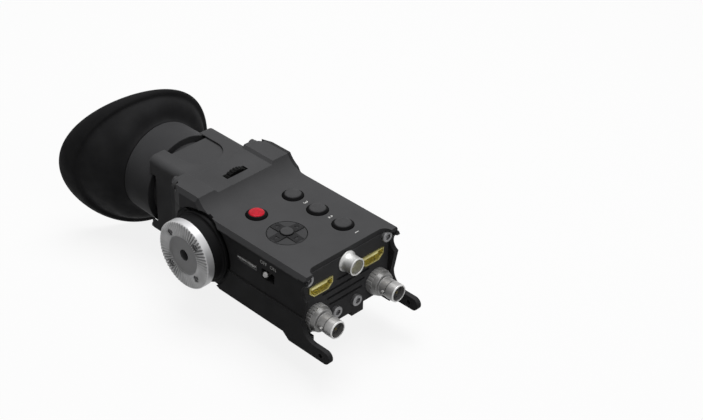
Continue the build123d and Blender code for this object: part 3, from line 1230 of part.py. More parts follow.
def display_cable():
    """Flat cable from the display down to the main board."""
    y = REAR_Y - DISPLAY[2]
    z = AXIS_Z - DISPLAY[1] / 2
    top = MAIN_BOARD_Z + BOARD_T
    half = CABLE_HALF
    drop = block(-half, half, y - CABLE_T, y, top, z + 5)
    return drop + block(-half, half, MAIN_BOARD_Y[1] - 4, y, top, top + CABLE_T)


def main_board():
    """Main circuit board with its processor, memory and edge connectors."""
    half = MAIN_BOARD_HALF
    y0, y1 = MAIN_BOARD_Y
    top = MAIN_BOARD_Z + BOARD_T
    board = block(-half, half, y0, y1, MAIN_BOARD_Z, top)
    chip_half, chip_y0, chip_y1, chip_t = CHIP
    board += block(-chip_half, chip_half, chip_y0, chip_y1, top, top + chip_t)
    near, far, memory_y0, memory_y1, memory_t = MEMORY
    socket_half, socket_length, socket_t = EDGE_SOCKET
    board += block(-socket_half, socket_half, y0, y0 + socket_length, top, top + socket_t)
    for side in BOTH:
        board += block(side * near, side * far, memory_y0, memory_y1, top, top + memory_t)
        for x, y in BOARD_FEET:
            board -= rod_z(side * x, y, FINE_R + SEAT_GAP, MAIN_BOARD_Z - 1, top + 1)
    return board


def heat_spreader():
    """Finned aluminium plate on the processor."""
    half, y0, y1, plate_t, fin_top = SPREADER
    low = MAIN_BOARD_Z + BOARD_T + CHIP[3]
    plate = block(-half, half, y0, y1, low, low + plate_t)
    for fin in range(-3, 4):
        x = FIN_PITCH * fin
        plate += block(x - FIN_T / 2, x + FIN_T / 2, y0, y1, low + plate_t, low + fin_top)
    return plate


def board_screws():
    """Four screws that hold the main board to the tray."""
    screw = cap_screw(BOARD_HEAD_R, 1.3, FINE_R, SCREW_HOLD)
    top = MAIN_BOARD_Z + BOARD_T
    return [facing(screw, (side * x, y, top), (0, 0, 1)) for side in BOTH for x, y in BOARD_FEET]


def eyecup_ring():
    """Ring that turns on the barrel's spigot and carries the eyecup."""
    inner = SPIGOT_R + RUNNING_GAP
    end = CUP_START + CUP_RING_LENGTH
    return turned_y(0, AXIS_Z, (inner, CUP_START), (CUP_RING_R, CUP_START), (CUP_RING_R, end), (inner, end))


def rim_y(turn):
    """How far back the eyecup's rim reaches, at a turn from its left side."""
    c = math.cos(turn)
    return CUP_RIM_Y + CUP_LEAN * c + CUP_BOW * c * c


def cup_section(turn):
    """Radial section of the eyecup's wall, from its left side round over the top."""
    rim = rim_y(turn)
    root = CUP_START

    def back(share):
        return root + 1.7 + share * (rim - root - 1.7)
    points = [
        (CUP_RING_R + 0.15, root), (CUP_ROOT_R, root), (CUP_ROOT_R + 0.6, root + 1.2),
        (CUP_RIM_R - 5.9, back(0.15)), (CUP_RIM_R - 4.3, back(0.68)), (CUP_RIM_R - 2.7, back(0.62)),
        (CUP_RIM_R, back(0.86)), (CUP_RIM_R, rim), (CUP_RIM_R - 1.2, rim + 0.9),
        (CUP_RIM_R - 5.3, back(0.84)), (CUP_RIM_R - 7.1, back(0.72)), (CUP_RIM_R - 8.3, back(0.3) + 0.6),
        (CUP_RING_R - 0.4, root + 4.0),
        (CUP_RING_R + 0.15, root + CUP_RING_LENGTH)]
    face = make_face(Polyline(*points, close=True))
    direction = Plane(origin=(0, 0, AXIS_Z), x_dir=(-math.cos(turn), 0, math.sin(turn)),
                      z_dir=(-math.sin(turn), 0, -math.cos(turn)))
    return direction * face


def eyecup():
    """Soft eyecup: neck, flared cone and folded rim, reaching further on the left."""
    turns = [math.pi * k / CUP_SIDES for k in range(CUP_SIDES + 1)]
    upper = loft([cup_section(turn) for turn in turns])
    lower = mirror(upper, Plane.XY.offset(AXIS_Z))
    return upper + lower


PIECES = {
    "top_cover": top_cover,
    "base_tray": base_tray,
    "side_plate_right": side_plate_right,
    "side_plate_left": side_plate_left,
    "left_panel": left_panel,
    "front_panel": front_panel,
    "panel_screws": panel_screws,
    "case_screws": case_screws,
    "video_socket_left": lambda: video_shell(-1),
    "video_socket_right": lambda: video_shell(1),
    "video_tongues": video_tongues,
    "coax_jack_left": lambda: coax_jack(-1),
    "coax_jack_right": lambda: coax_jack(1),
    "coax_nuts": coax_nuts,
    "coax_insulators": coax_insulators,
    "coax_contacts": coax_contacts,
    "power_socket": power_socket,
    "power_insert": power_insert,
    "power_contacts": power_contacts,
    "port_board": port_board,
    "card_slot_shell": card_slot_shell,
    "card_slot_tongue": card_slot_tongue,
    "key_1": lambda: key(KEYS[0]),
    "key_2": lambda: key(KEYS[1]),
    "key_3": lambda: key(KEYS[2]),
    "record_key": record_key,
    "record_cap": record_cap,
    "pad_ring": pad_ring,
    "pad_gimbal": pad_gimbal,
    "centre_key": centre_key,
    "button_board": button_board,
    "key_domes": key_domes,
    "board_pillars": board_pillars,
    "power_lever": power_lever,
    "lever_switch": lever_switch,
    "disc_boss": disc_boss,
    "toothed_disc": toothed_disc,
    "disc_screws": disc_screws,
    "boss_screws": boss_screws,
    "eyepiece_block": eyepiece_block,
    "block_screws": block_screws,
    "lug_screws": lug_screws,
    "eyepiece_barrel": eyepiece_barrel,
    "eye_lens": eye_lens,
    "lens_ring": lens_ring,
    "lens_carriage": lens_carriage,
    "carriage_lens": carriage_lens,
    "carriage_ring": carriage_ring,
    "guide_rod": guide_rod,
    "thumbwheel": thumbwheel,
    "lead_screw": lead_screw,
    "wheel_bracket": wheel_bracket,
    "display_module": display_module,
    "display_glass": display_glass,
    "display_cable": display_cable,
    "main_board": main_board,
    "heat_spreader": heat_spreader,
    "board_screws": board_screws,
    "eyecup_ring": eyecup_ring,
    "eyecup": eyecup,
}

os.makedirs("parts", exist_ok=True)
TO_BORE = Pos(-DISC_FACE_X - TOOTH_DEPTH, -DISC_Y, -DISC_Z)
for name, make in PIECES.items():
    made = make()
    solids = made if isinstance(made, list) else [made]
    placed = [TO_BORE * solid for solid in solids]
    shape = placed[0] if len(placed) == 1 else Compound(children=placed)
    export_step(shape, f"parts/{name}.step")
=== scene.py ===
"""Looks of an electronic viewfinder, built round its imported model."""

import logging
import math
from dataclasses import dataclass
from enum import Enum
from typing import Union

import bpy
from mathutils import Matrix, Vector


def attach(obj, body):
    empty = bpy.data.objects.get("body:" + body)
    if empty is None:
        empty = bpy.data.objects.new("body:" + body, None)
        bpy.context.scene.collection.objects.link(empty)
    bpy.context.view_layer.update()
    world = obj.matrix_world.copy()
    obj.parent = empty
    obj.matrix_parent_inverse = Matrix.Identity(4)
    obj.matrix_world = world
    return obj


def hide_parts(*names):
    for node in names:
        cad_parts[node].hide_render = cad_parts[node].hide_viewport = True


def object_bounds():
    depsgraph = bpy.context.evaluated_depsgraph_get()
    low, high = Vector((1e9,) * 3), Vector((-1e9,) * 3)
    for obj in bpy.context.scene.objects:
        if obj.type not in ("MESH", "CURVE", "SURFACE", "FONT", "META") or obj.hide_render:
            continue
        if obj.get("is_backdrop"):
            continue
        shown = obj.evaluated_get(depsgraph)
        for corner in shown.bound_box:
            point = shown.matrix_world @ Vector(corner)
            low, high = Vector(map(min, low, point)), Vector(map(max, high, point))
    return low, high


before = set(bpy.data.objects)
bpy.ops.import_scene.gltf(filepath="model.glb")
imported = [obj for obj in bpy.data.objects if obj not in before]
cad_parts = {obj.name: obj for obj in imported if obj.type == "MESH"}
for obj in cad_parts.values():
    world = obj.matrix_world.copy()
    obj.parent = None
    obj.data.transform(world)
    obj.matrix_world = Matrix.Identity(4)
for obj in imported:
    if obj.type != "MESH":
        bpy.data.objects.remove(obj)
LOG = logging.getLogger("viewfinder")
MM = 0.001
BORE = Vector((43.1, -70.3, 19.8))  # from the deck's front edge to the disc's bore, mm
MERGE_GAP = 0.02  # corners nearer to each other than this become one, mm
CLOUD_BAND = (0.3, 0.7)  # where nearly all of a random pattern lies

Pair = tuple[float, float]
Triple = tuple[float, float, float]
Colour = tuple[float, float, float]
Socket = bpy.types.NodeSocket
Feed = Union[Socket, float, Colour]


def place(x: float, y: float, z: float) -> Vector:
    """Turn a place measured from the deck's front edge into the model's frame.

    Args:
        x: Millimetres to the right of the middle.
        y: Millimetres back from the deck's front edge.
        z: Millimetres above the deck.

    Returns:
        The same place in metres, from the mouth of the disc's bore.
    """
    return (Vector((x, y, z)) + BORE) * MM


def shaded(colour: Colour, times: float, plus: float = 0.0) -> Colour:
    """Make a colour lighter or darker.

    Args:
        colour: The colour.
        times: What each part of it is multiplied by.
        plus: What is then added to each part.

    Returns:
        The new colour, with no part above 1.
    """
    return tuple(min(1.0, part * times + plus) for part in colour)


class Run(Enum):
    """An axis, or the line that a machined or printed pattern follows."""

    ACROSS = (1.0, 0.0, 0.0)
    BACK = (0.0, 1.0, 0.0)
    UP = (0.0, 0.0, 1.0)


class Pattern:
    """Node tree of one finish, with short calls for what all finishes share."""

    def __init__(self, name: str) -> None:
        """Start an empty finish.

        Args:
            name: Name of the material.
        """
        self.material = bpy.data.materials.new(name)
        self.material.use_nodes = True
        self.tree = self.material.node_tree
        self.tree.nodes.clear()
        self.surface = self.node("ShaderNodeBsdfPrincipled")
        output = self.node("ShaderNodeOutputMaterial")
        self.link(self.surface.outputs["BSDF"], output.inputs["Surface"])
        self.here = self.node("ShaderNodeTexCoord").outputs["Object"]

    def node(self, kind: str, **settings: object) -> bpy.types.Node:
        """Add a node.

        Args:
            kind: Blender's name for the node.
            settings: Properties to set on it.

        Returns:
            The new node.
        """
        made = self.tree.nodes.new(kind)
        for key, value in settings.items():
            setattr(made, key, value)
        return made

    def link(self, source: Socket, target: Socket) -> None:
        """Join an output to an input."""
        self.tree.links.new(source, target)

    def feed(self, target: Socket, value: Feed) -> None:
        """Give an input a linked output or a plain value.

        Args:
            target: The input.
            value: An output, a number or a colour.
        """
        if isinstance(value, Socket):
            self.link(value, target)
        elif isinstance(value, tuple) and target.type == "RGBA":
            target.default_value = (*value, 1.0)
        else:
            target.default_value = value

    def cloud(self, width: float, detail: float = 2.0, stretch: Triple = (1, 1, 1),
              shift: float = 0.0) -> Socket:
        """Soft random pattern.

        Args:
            width: Width of its features in millimetres.
            detail: How many finer layers it holds.
            stretch: How much longer the features are along each axis.
            shift: Moves the pattern, so that no two coincide.

        Returns:
            The pattern, about 0.5 on the whole.
        """
        mapping = self.node("ShaderNodeMapping")
        mapping.inputs["Scale"].default_value = [1 / along for along in stretch]
        mapping.inputs["Location"].default_value = (shift, -shift, shift)
        self.link(self.here, mapping.inputs["Vector"])
        noise = self.node("ShaderNodeTexNoise")
        noise.inputs["Scale"].default_value = 1 / (width * MM)
        noise.inputs["Detail"].default_value = detail
        self.link(mapping.outputs["Vector"], noise.inputs["Vector"])
        return noise.outputs["Fac"]

    def patchy(self, width: float, detail: float, low: float = 0.0, high: float = 1.0,
               band: Pair = CLOUD_BAND, shift: float = 0.0) -> Socket:
        """Soft random pattern that runs between two values.

        Args:
            width: Width of its features in millimetres.
            detail: How many finer layers it holds.
            low: Its lowest value.
            high: Its highest value.
            band: Part of the plain pattern that is stretched between the two.
            shift: Moves the pattern, so that no two coincide.

        Returns:
            The pattern.
        """
        return self.remap(self.cloud(width, detail, shift=shift), *band, low, high)

    def pits(self, width: float) -> Socket:
        """Cell pattern for blasted or grained surfaces.

        Args:
            width: Width of a cell in millimetres.

        Returns:
            The distance from the nearest cell's middle.
        """
        cells = self.node("ShaderNodeTexVoronoi", feature="SMOOTH_F1")
        cells.inputs["Scale"].default_value = 1 / (width * MM)
        self.link(self.here, cells.inputs["Vector"])
        return cells.outputs["Distance"]

    def remap(self, value: Feed, low: float, high: float, to_low: float = 0.0,
              to_high: float = 1.0) -> Socket:
        """Stretch a pattern from one range to another.

        Args:
            value: The pattern.
            low: Where the first range starts.
            high: Where it ends.
            to_low: Where the new range starts.
            to_high: Where it ends.

        Returns:
            The pattern, which doesn't pass the ends of the new range.
        """
        made = self.node("ShaderNodeMapRange", clamp=True)
        for socket, given in zip(("Value", "From Min", "From Max", "To Min", "To Max"),
                                 (value, low, high, to_low, to_high)):
            self.feed(made.inputs[socket], given)
        return made.outputs["Result"]

    def along(self, run: Run) -> Socket:
        """Distance along an axis, in metres.

        Args:
            run: The axis.

        Returns:
            The distance.
        """
        split = self.node("ShaderNodeSeparateXYZ")
        self.link(self.here, split.inputs["Vector"])
        return split.outputs[run.value.index(1.0)]

    def past(self, run: Run, start: float, blur: float) -> Socket:
        """Share that rises from 0 to 1 at one place along an axis.

        Args:
            run: The axis.
            start: Where it rises, in millimetres from the middle of the deck's front edge.
            blur: Over how many millimetres.

        Returns:
            The share.
        """
        step = place(*(start * share for share in run.value))[run.value.index(1.0)]
        return self.remap(self.along(run), step - blur / 2 * MM, step + blur / 2 * MM)

    def sums(self, operation: str, first: Feed, second: Feed) -> Socket:
        """Combine two patterns by arithmetic.

        Args:
            operation: Blender's name for it.
            first: A pattern or a number.
            second: Another one.

        Returns:
            The result.
        """
        made = self.node("ShaderNodeMath", operation=operation)
        self.feed(made.inputs[0], first)
        self.feed(made.inputs[1], second)
        return made.outputs["Value"]

    def times(self, first: Feed, second: Feed) -> Socket:
        """Multiply two patterns."""
        return self.sums("MULTIPLY", first, second)

    def plus(self, first: Feed, second: Feed) -> Socket:
        """Add two patterns."""
        return self.sums("ADD", first, second)

    def blend(self, share: Feed, first: Feed, second: Feed) -> Socket:
        """Mix two colours.

        Args:
            share: How much of the second colour shows.
            first: Colour where the share is 0.
            second: Colour where the share is 1.

        Returns:
            The mixed colour.
        """
        made = self.node("ShaderNodeMix", data_type="RGBA")
        self.feed(made.inputs["Factor"], share)
        self.feed(made.inputs["A"], first)
        self.feed(made.inputs["B"], second)
        return made.outputs["Result"]

    def corners(self, radius: float) -> tuple[Socket, Socket]:
        """Find the edges of a piece.

        Args:
            radius: How far from an edge it counts, in millimetres.

        Returns:
            The rounded normal, and a share that is 1 on an edge and 0 on a flat.
        """
        rounded = self.node("ShaderNodeBevel", samples=4)
        rounded.inputs["Radius"].default_value = radius * MM
        flat = self.node("ShaderNodeNewGeometry").outputs["Normal"]
        turn = self.node("ShaderNodeVectorMath", operation="DOT_PRODUCT")
        self.link(rounded.outputs["Normal"], turn.inputs[0])
        self.link(flat, turn.inputs[1])
        on_flat, on_edge = 0.99, 0.8
        return rounded.outputs["Normal"], self.remap(turn.outputs["Value"], on_flat, on_edge)

    def relief(self, height: Socket, depth: float, under: Union[Socket, None] = None) -> Socket:
        """Turn a pattern into fine relief.

        Args:
            height: The pattern.
            depth: Its depth in millimetres.
            under: Normal that it is laid over.

        Returns:
            The bumped normal.
        """
        made = self.node("ShaderNodeBump")
        made.inputs["Strength"].default_value = 1.0
        made.inputs["Distance"].default_value = depth * MM
        self.link(height, made.inputs["Height"])
        if under is not None:
            self.link(under, made.inputs["Normal"])
        return made.outputs["Normal"]

    def finish(self, **sockets: Feed) -> bpy.types.Material:
        """Set the surface's inputs and give back the material.

        Args:
            sockets: Values or patterns by input name, with _ for a space.

        Returns:
            The finished material.
        """
        for key, value in sockets.items():
            self.feed(self.surface.inputs[key.replace("_", " ")], value)
        return self.material


@dataclass(frozen=True)
class BlastedBlack:
    """Anodised metal or moulding with a fine even grain, worn a little at its edges."""

    name: str
    colour: Colour = (0.066, 0.066, 0.068)
    worn: Colour = (0.12, 0.12, 0.122)
    grain: float = 0.22  # mm
    grain_depth: float = 0.006  # mm
    rough: float = 0.56
    specular: float = 0.035
    edge: float = 0.28  # mm
    wear: float = 0.5
    least_wear: float = 0.12
    rub_width: float = 3.2  # mm
    tint_width: float = 26.0  # mm
    tint_swing: float = 0.1
    speck_share: float = 0.28
    speck_gain: float = 1.5
    haze_width: float = 9.0  # mm
    haze_swing: float = 0.06

    def make(self) -> bpy.types.Material:
        """Build the material.

        Returns:
            The finished material.
        """
        sheet = Pattern(self.name)
        normal, edge = sheet.corners(self.edge)
        fine = sheet.cloud(self.grain)
        tint = sheet.blend(sheet.patchy(self.tint_width, 3.0),
                           shaded(self.colour, 1 - self.tint_swing),
                           shaded(self.colour, 1 + self.tint_swing))
        speck = sheet.blend(sheet.remap(fine, 0.35, 0.72, 0.0, self.speck_share), tint,
                            shaded(self.colour, self.speck_gain))
        rub = sheet.patchy(self.rub_width, 4.0, self.least_wear, self.wear, (0.36, 0.66), shift=0.3)
        rough = sheet.patchy(self.haze_width, 4.0, self.rough - self.haze_swing,
                             self.rough + self.haze_swing, shift=0.7)
        grain = sheet.plus(fine, sheet.pits(self.grain * 1.6))
        return sheet.finish(Base_Color=sheet.blend(sheet.times(edge, rub), speck, self.worn),
                            Roughness=rough, Normal=sheet.relief(grain, self.grain_depth, normal),
                            Specular_IOR_Level=self.specular)


@dataclass(frozen=True)
class KeyRubber:
    """Firm rubber of the keys: grey on top where a finger presses, with painted shade that makes
    the flanks nearly black.
    """

    name: str
    pressed: Colour = (0.066, 0.066, 0.068)
    # painted shade down the flanks of the keys; on the pad, the grey of its base
    flank: Colour = (0.002, 0.002, 0.0022)
    flank_high: float = 0.9  # mm above the deck
    crown_high: float = 1.45  # mm above the deck
    edge: float = 0.3  # mm
    smudge_width: float = 3.0  # mm
    smudge_share: float = 0.35
    smudge_shade: float = 0.7
    pebble: float = 0.35  # mm
    grain: float = 0.2  # mm
    grain_depth: float = 0.006  # mm
    rough: Pair = (0.5, 0.6)
    specular: float = 0.05

    def make(self) -> bpy.types.Material:
        """Build the material.

        Returns:
            The finished material.
        """
        sheet = Pattern(self.name)
        normal, _ = sheet.corners(self.edge)
        deck = place(0, 0, 0).z
        crown = sheet.remap(sheet.along(Run.UP), deck + self.flank_high * MM,
                            deck + self.crown_high * MM)
        smudge = sheet.patchy(self.smudge_width, 4.0, 0.0, self.smudge_share, (0.35, 0.7))
        top = sheet.blend(smudge, self.pressed, shaded(self.pressed, self.smudge_shade))
        grain = sheet.plus(sheet.pits(self.pebble), sheet.cloud(self.grain))
        # below the crown the flank colour is painted shade on the keys
        return sheet.finish(Base_Color=sheet.blend(crown, self.flank, top),
                            Roughness=sheet.remap(smudge, 0.0, self.smudge_share, *self.rough),
                            Normal=sheet.relief(grain, self.grain_depth, normal),
                            Specular_IOR_Level=self.specular)


@dataclass(frozen=True)
class SoftRubber:
    """Matt moulded rubber with a fine pebble and a dusty bloom, with painted shade that keeps it
    dark where marked.
    """

    name: str
    colour: Colour = (0.009, 0.009, 0.0095)
    bloom: Colour = (0.024, 0.024, 0.025)
    bloom_width: float = 14.0  # mm
    least_bloom: float = 0.35
    # share of the bloom left under the painted shade
    lip_shade_bloom: float = 0.15
    pebble: float = 0.45  # mm
    grain: float = 0.2  # mm
    grain_depth: float = 0.012  # mm
    haze_width: float = 6.0  # mm
    rough: Pair = (0.66, 0.8)
    specular: float = 0.08

    def make(self) -> bpy.types.Material:
        """Build the material.

        Returns:
            The finished material.
        """
        sheet = Pattern(self.name)
        # painted shade on the lip, read from the mesh
        lip_shade = sheet.node("ShaderNodeAttribute", attribute_name="lip_shade").outputs["Fac"]
        dusty = sheet.patchy(self.bloom_width, 5.0, self.least_bloom, 1.0, (0.3, 0.72))
        bloom_out_of_shade = sheet.times(dusty, sheet.remap(lip_shade, 0.0, 1.0, 1.0, self.lip_shade_bloom))
        grain = sheet.plus(sheet.pits(self.pebble), sheet.cloud(self.grain))
        return sheet.finish(Base_Color=sheet.blend(bloom_out_of_shade, self.colour, self.bloom),
                            Roughness=sheet.patchy(self.haze_width, 4.0, *self.rough, shift=0.4),
                            Normal=sheet.relief(grain, self.grain_depth),
                            Specular_IOR_Level=self.specular)


@dataclass(frozen=True)
class TurnedMetal:
    """Bright metal with fine tool marks, dulled in patches and brighter at its edges.

    Bands are painted light and shade: each gives where its colour starts, in millimetres from the
    deck's front edge, and the colour.
    """

    name: str
    colour: Colour
    dull: Colour
    run: Run = Run.BACK
    rough: float = 0.3
    edge: float = 0.15  # mm
    edge_share: float = 0.6
    edge_gain: float = 1.8
    metallic: float = 1.0
    mark_width: float = 0.14  # mm
    mark_length: float = 18.0  # times its width
    mark_depth: float = 0.004  # mm
    patch_width: float = 6.0  # mm
    patch_share: float = 0.7
    patch_haze: float = 0.1
    band_run: Run = Run.BACK
    # painted light and shade, band by band along band_run
    painted_light_bands: tuple[tuple[float, Colour], ...] = ()
    band_blur: float = 0.2  # mm
    band_dull: float = 0.7

    def make(self) -> bpy.types.Material:
        """Build the material.

        Returns:
            The finished material.
        """
        sheet = Pattern(self.name)
        normal, edge = sheet.corners(self.edge)
        stretch = tuple(1.0 if axis else self.mark_length for axis in self.run.value)
        marks = sheet.cloud(self.mark_width, 3.0, stretch)
        patches = sheet.patchy(self.patch_width, 3.0, 0.0, self.patch_share, (0.34, 0.7))
        colour = sheet.blend(patches, self.colour, self.dull)
        # each band paints its light and shade from its start onwards
        for start, band_colour in self.painted_light_bands:
            past = sheet.past(self.band_run, start, self.band_blur)
            colour = sheet.blend(past, colour,
                                 sheet.blend(patches, band_colour, shaded(band_colour, self.band_dull)))
        lit = sheet.blend(sheet.times(edge, self.edge_share), colour,
                          shaded(self.colour, self.edge_gain))
        rough = sheet.plus(sheet.remap(marks, *CLOUD_BAND, self.rough - 0.05, self.rough + 0.07),
                           sheet.times(patches, self.patch_haze))
        return sheet.finish(Base_Color=lit, Roughness=rough, Metallic=self.metallic,
                            Normal=sheet.relief(marks, self.mark_depth, normal))


@dataclass(frozen=True)
class DiscSilver:
    """Toothed disc: bright milled teeth round a darker blasted middle with faint turning rings,
    painted shade between the teeth and a painted highlight round the rim.
    """

    name: str
    tooth: Colour = (0.68, 0.68, 0.685)
    # painted shade between the teeth, and the colour of stains
    valley_shade_and_stain: Colour = (0.12, 0.12, 0.122)
    middle: Colour = (0.18, 0.18, 0.183)
    # painted highlight round the rim
    rim: Colour = (0.82, 0.82, 0.83)
    metallic: float = 0.3
    teeth_from: Pair = (10.2, 11.0)  # radius in mm, first and last of the change
    rim_from: Pair = (17.8, 18.3)  # radius in mm, first and last of the change
    rim_highlight_share: float = 0.8
    tooth_depth: float = 0.9  # mm
    valley_shade_share: float = 0.75
    edge: float = 0.12  # mm
    edge_share: float = 0.7
    edge_gain: float = 1.4
    stain_width: float = 5.0  # mm
    tooth_stain: float = 0.4
    middle_stain: float = 0.35
    ring_pitch: float = 0.5  # mm
    ring_depth: float = 0.003  # mm
    grain: float = 0.2  # mm
    rough: Pair = (0.5, 0.34)  # in the middle, and on the teeth

    def make(self) -> bpy.types.Material:
        """Build the material, whose Object coordinates start on the disc's own axis.

        Returns:
            The finished material.
        """
        sheet = Pattern(self.name)
        normal, edge = sheet.corners(self.edge)
        radius = self.from_axis(sheet)
        toothed = sheet.remap(radius, *(reach * MM for reach in self.teeth_from))
        outer = sheet.remap(radius, *(reach * MM for reach in self.rim_from))
        # painted shade: darker the deeper a point lies between the teeth
        low = sheet.remap(sheet.along(Run.ACROSS), -self.tooth_depth * MM, 0.0)
        stain = sheet.cloud(self.stain_width, 4.0)
        bright = sheet.blend(sheet.remap(stain, 0.35, 0.7, 0.0, self.tooth_stain), self.tooth,
                             self.valley_shade_and_stain)
        teeth = sheet.blend(sheet.times(low, self.valley_shade_share), bright, self.valley_shade_and_stain)
        middle = sheet.blend(sheet.remap(stain, *CLOUD_BAND, 0.0, self.middle_stain), self.middle,
                             self.valley_shade_and_stain)
        lit = sheet.blend(sheet.times(edge, self.edge_share), sheet.blend(toothed, middle, teeth),
                          shaded(self.tooth, self.edge_gain))
        # painted highlight round the rim
        lit = sheet.blend(sheet.times(outer, self.rim_highlight_share), lit, self.rim)
        rings = sheet.sums("SINE", sheet.times(radius, math.tau / (self.ring_pitch * MM)), 0.0)
        marks = sheet.plus(rings, sheet.cloud(self.grain))
        return sheet.finish(Base_Color=lit, Roughness=sheet.remap(toothed, 0.0, 1.0, *self.rough),
                            Normal=sheet.relief(marks, self.ring_depth, normal),
                            Metallic=self.metallic)

    @staticmethod
    def from_axis(sheet: Pattern) -> Socket:
        """Distance from the disc's axis, which runs across.

        Args:
            sheet: The finish that it is for.

        Returns:
            The distance in metres.
        """
        flat = sheet.node("ShaderNodeVectorMath", operation="MULTIPLY")
        flat.inputs[1].default_value = (0.0, 1.0, 1.0)
        sheet.link(sheet.here, flat.inputs[0])
        length = sheet.node("ShaderNodeVectorMath", operation="LENGTH")
        sheet.link(flat.outputs["Vector"], length.inputs[0])
        return length.outputs["Value"]


@dataclass(frozen=True)
class GlossyCap:
    """Polished coloured plastic with a faint swirl of fine scratches."""

    name: str
    colour: Colour
    deep: Colour
    swirl_width: float = 2.6  # mm
    edge: float = 0.2  # mm
    edge_share: float = 0.35
    scratch_width: float = 0.12  # mm
    scratch_stretch: Triple = (9.0, 1.0, 1.0)
    scratch_depth: float = 0.002  # mm
    rough: Pair = (0.22, 0.34)
    specular: float = 0.18

    def make(self) -> bpy.types.Material:
        """Build the material.

        Returns:
            The finished material.
        """
        sheet = Pattern(self.name)
        normal, edge = sheet.corners(self.edge)
        colour = sheet.blend(sheet.patchy(self.swirl_width, 3.0), self.colour, self.deep)
        pale = sheet.blend(sheet.times(edge, self.edge_share), colour,
                           shaded(self.colour, 1.4, 0.05))
        scratch = sheet.cloud(self.scratch_width, 2.0, self.scratch_stretch)
        return sheet.finish(Base_Color=pale, Roughness=sheet.remap(scratch, 0.35, 0.7, *self.rough),
                            Normal=sheet.relief(scratch, self.scratch_depth, normal),
                            Specular_IOR_Level=self.specular)


@dataclass(frozen=True)
class CoatedGlass:
    """Lens glass whose thin coating tints what it reflects."""

    name: str
    tint: Colour = (0.89, 0.905, 0.955)
    coating: Colour = (0.35, 0.45, 1.0)
    wipe_width: float = 5.0  # mm
    wipe_shade: float = 0.94
    wipe_depth: float = 0.0005  # mm
    rough: Pair = (0.01, 0.035)

    def make(self) -> bpy.types.Material:
        """Build the material.

        Returns:
            The finished material.
        """
        sheet = Pattern(self.name)
        wipe = sheet.cloud(self.wipe_width, 5.0)
        colour = sheet.blend(sheet.remap(wipe, *CLOUD_BAND), self.tint,
                             shaded(self.tint, self.wipe_shade))
        return sheet.finish(Base_Color=colour, Roughness=sheet.remap(wipe, 0.35, 0.75, *self.rough),
                            Normal=sheet.relief(wipe, self.wipe_depth), Transmission_Weight=1.0,
                            IOR=1.5, Coat_Weight=0.8, Coat_Roughness=0.02, Coat_Tint=self.coating)


@dataclass(frozen=True)
class PrintedInk:
    """Screen-printed ink, a little broken by the grain under it."""

    name: str
    colour: Colour = (0.82, 0.82, 0.8)
    broken: Colour = (0.18, 0.18, 0.18)
    broken_share: float = 0.7
    grain: float = 0.16  # mm
    grain_depth: float = 0.004  # mm
    rough: Pair = (0.5, 0.65)
    specular: float = 0.3

    def make(self) -> bpy.types.Material:
        """Build the material.

        Returns:
            The finished material.
        """
        sheet = Pattern(self.name)
        grain = sheet.cloud(self.grain, 3.0)
        gaps = sheet.remap(grain, 0.58, 0.74, 0.0, self.broken_share)
        return sheet.finish(Base_Color=sheet.blend(gaps, self.colour, self.broken),
                            Roughness=sheet.remap(grain, *CLOUD_BAND, *self.rough),
                            Normal=sheet.relief(grain, self.grain_depth),
                            Specular_IOR_Level=self.specular)


@dataclass(frozen=True)
class CircuitBoard:
    """Solder mask with tracks showing through it and tinned pads."""

    name: str
    mask: Colour = (0.012, 0.09, 0.035)
    track: Colour = (0.03, 0.17, 0.07)
    pad: Colour = (0.5, 0.48, 0.42)
    track_pitch: float = 5.0  # mm
    pad_pitch: float = 1.3  # mm
    haze_width: float = 2.0  # mm
    rough: Pair = (0.32, 0.46)
    depth: float = 0.03  # mm

    def make(self) -> bpy.types.Material:
        """Build the material.

        Returns:
            The finished material.
        """
        sheet = Pattern(self.name)
        bricks = sheet.node("ShaderNodeTexBrick", offset=0.37, squash=0.6, squash_frequency=3)
        sheet.link(sheet.here, bricks.inputs["Vector"])
        for socket, value in (("Scale", 1 / (self.track_pitch * MM)), ("Mortar Size", 0.03),
                              ("Mortar Smooth", 0.1)):
            bricks.inputs[socket].default_value = value
        lines = bricks.outputs["Fac"]
        pads = sheet.remap(sheet.pits(self.pad_pitch), 0.16, 0.12)
        colour = sheet.blend(pads, sheet.blend(lines, self.mask, self.track), self.pad)
        rough = sheet.patchy(self.haze_width, 4.0, *self.rough)
        return sheet.finish(Base_Color=colour, Roughness=rough,
                            Normal=sheet.relief(sheet.plus(lines, pads), self.depth))


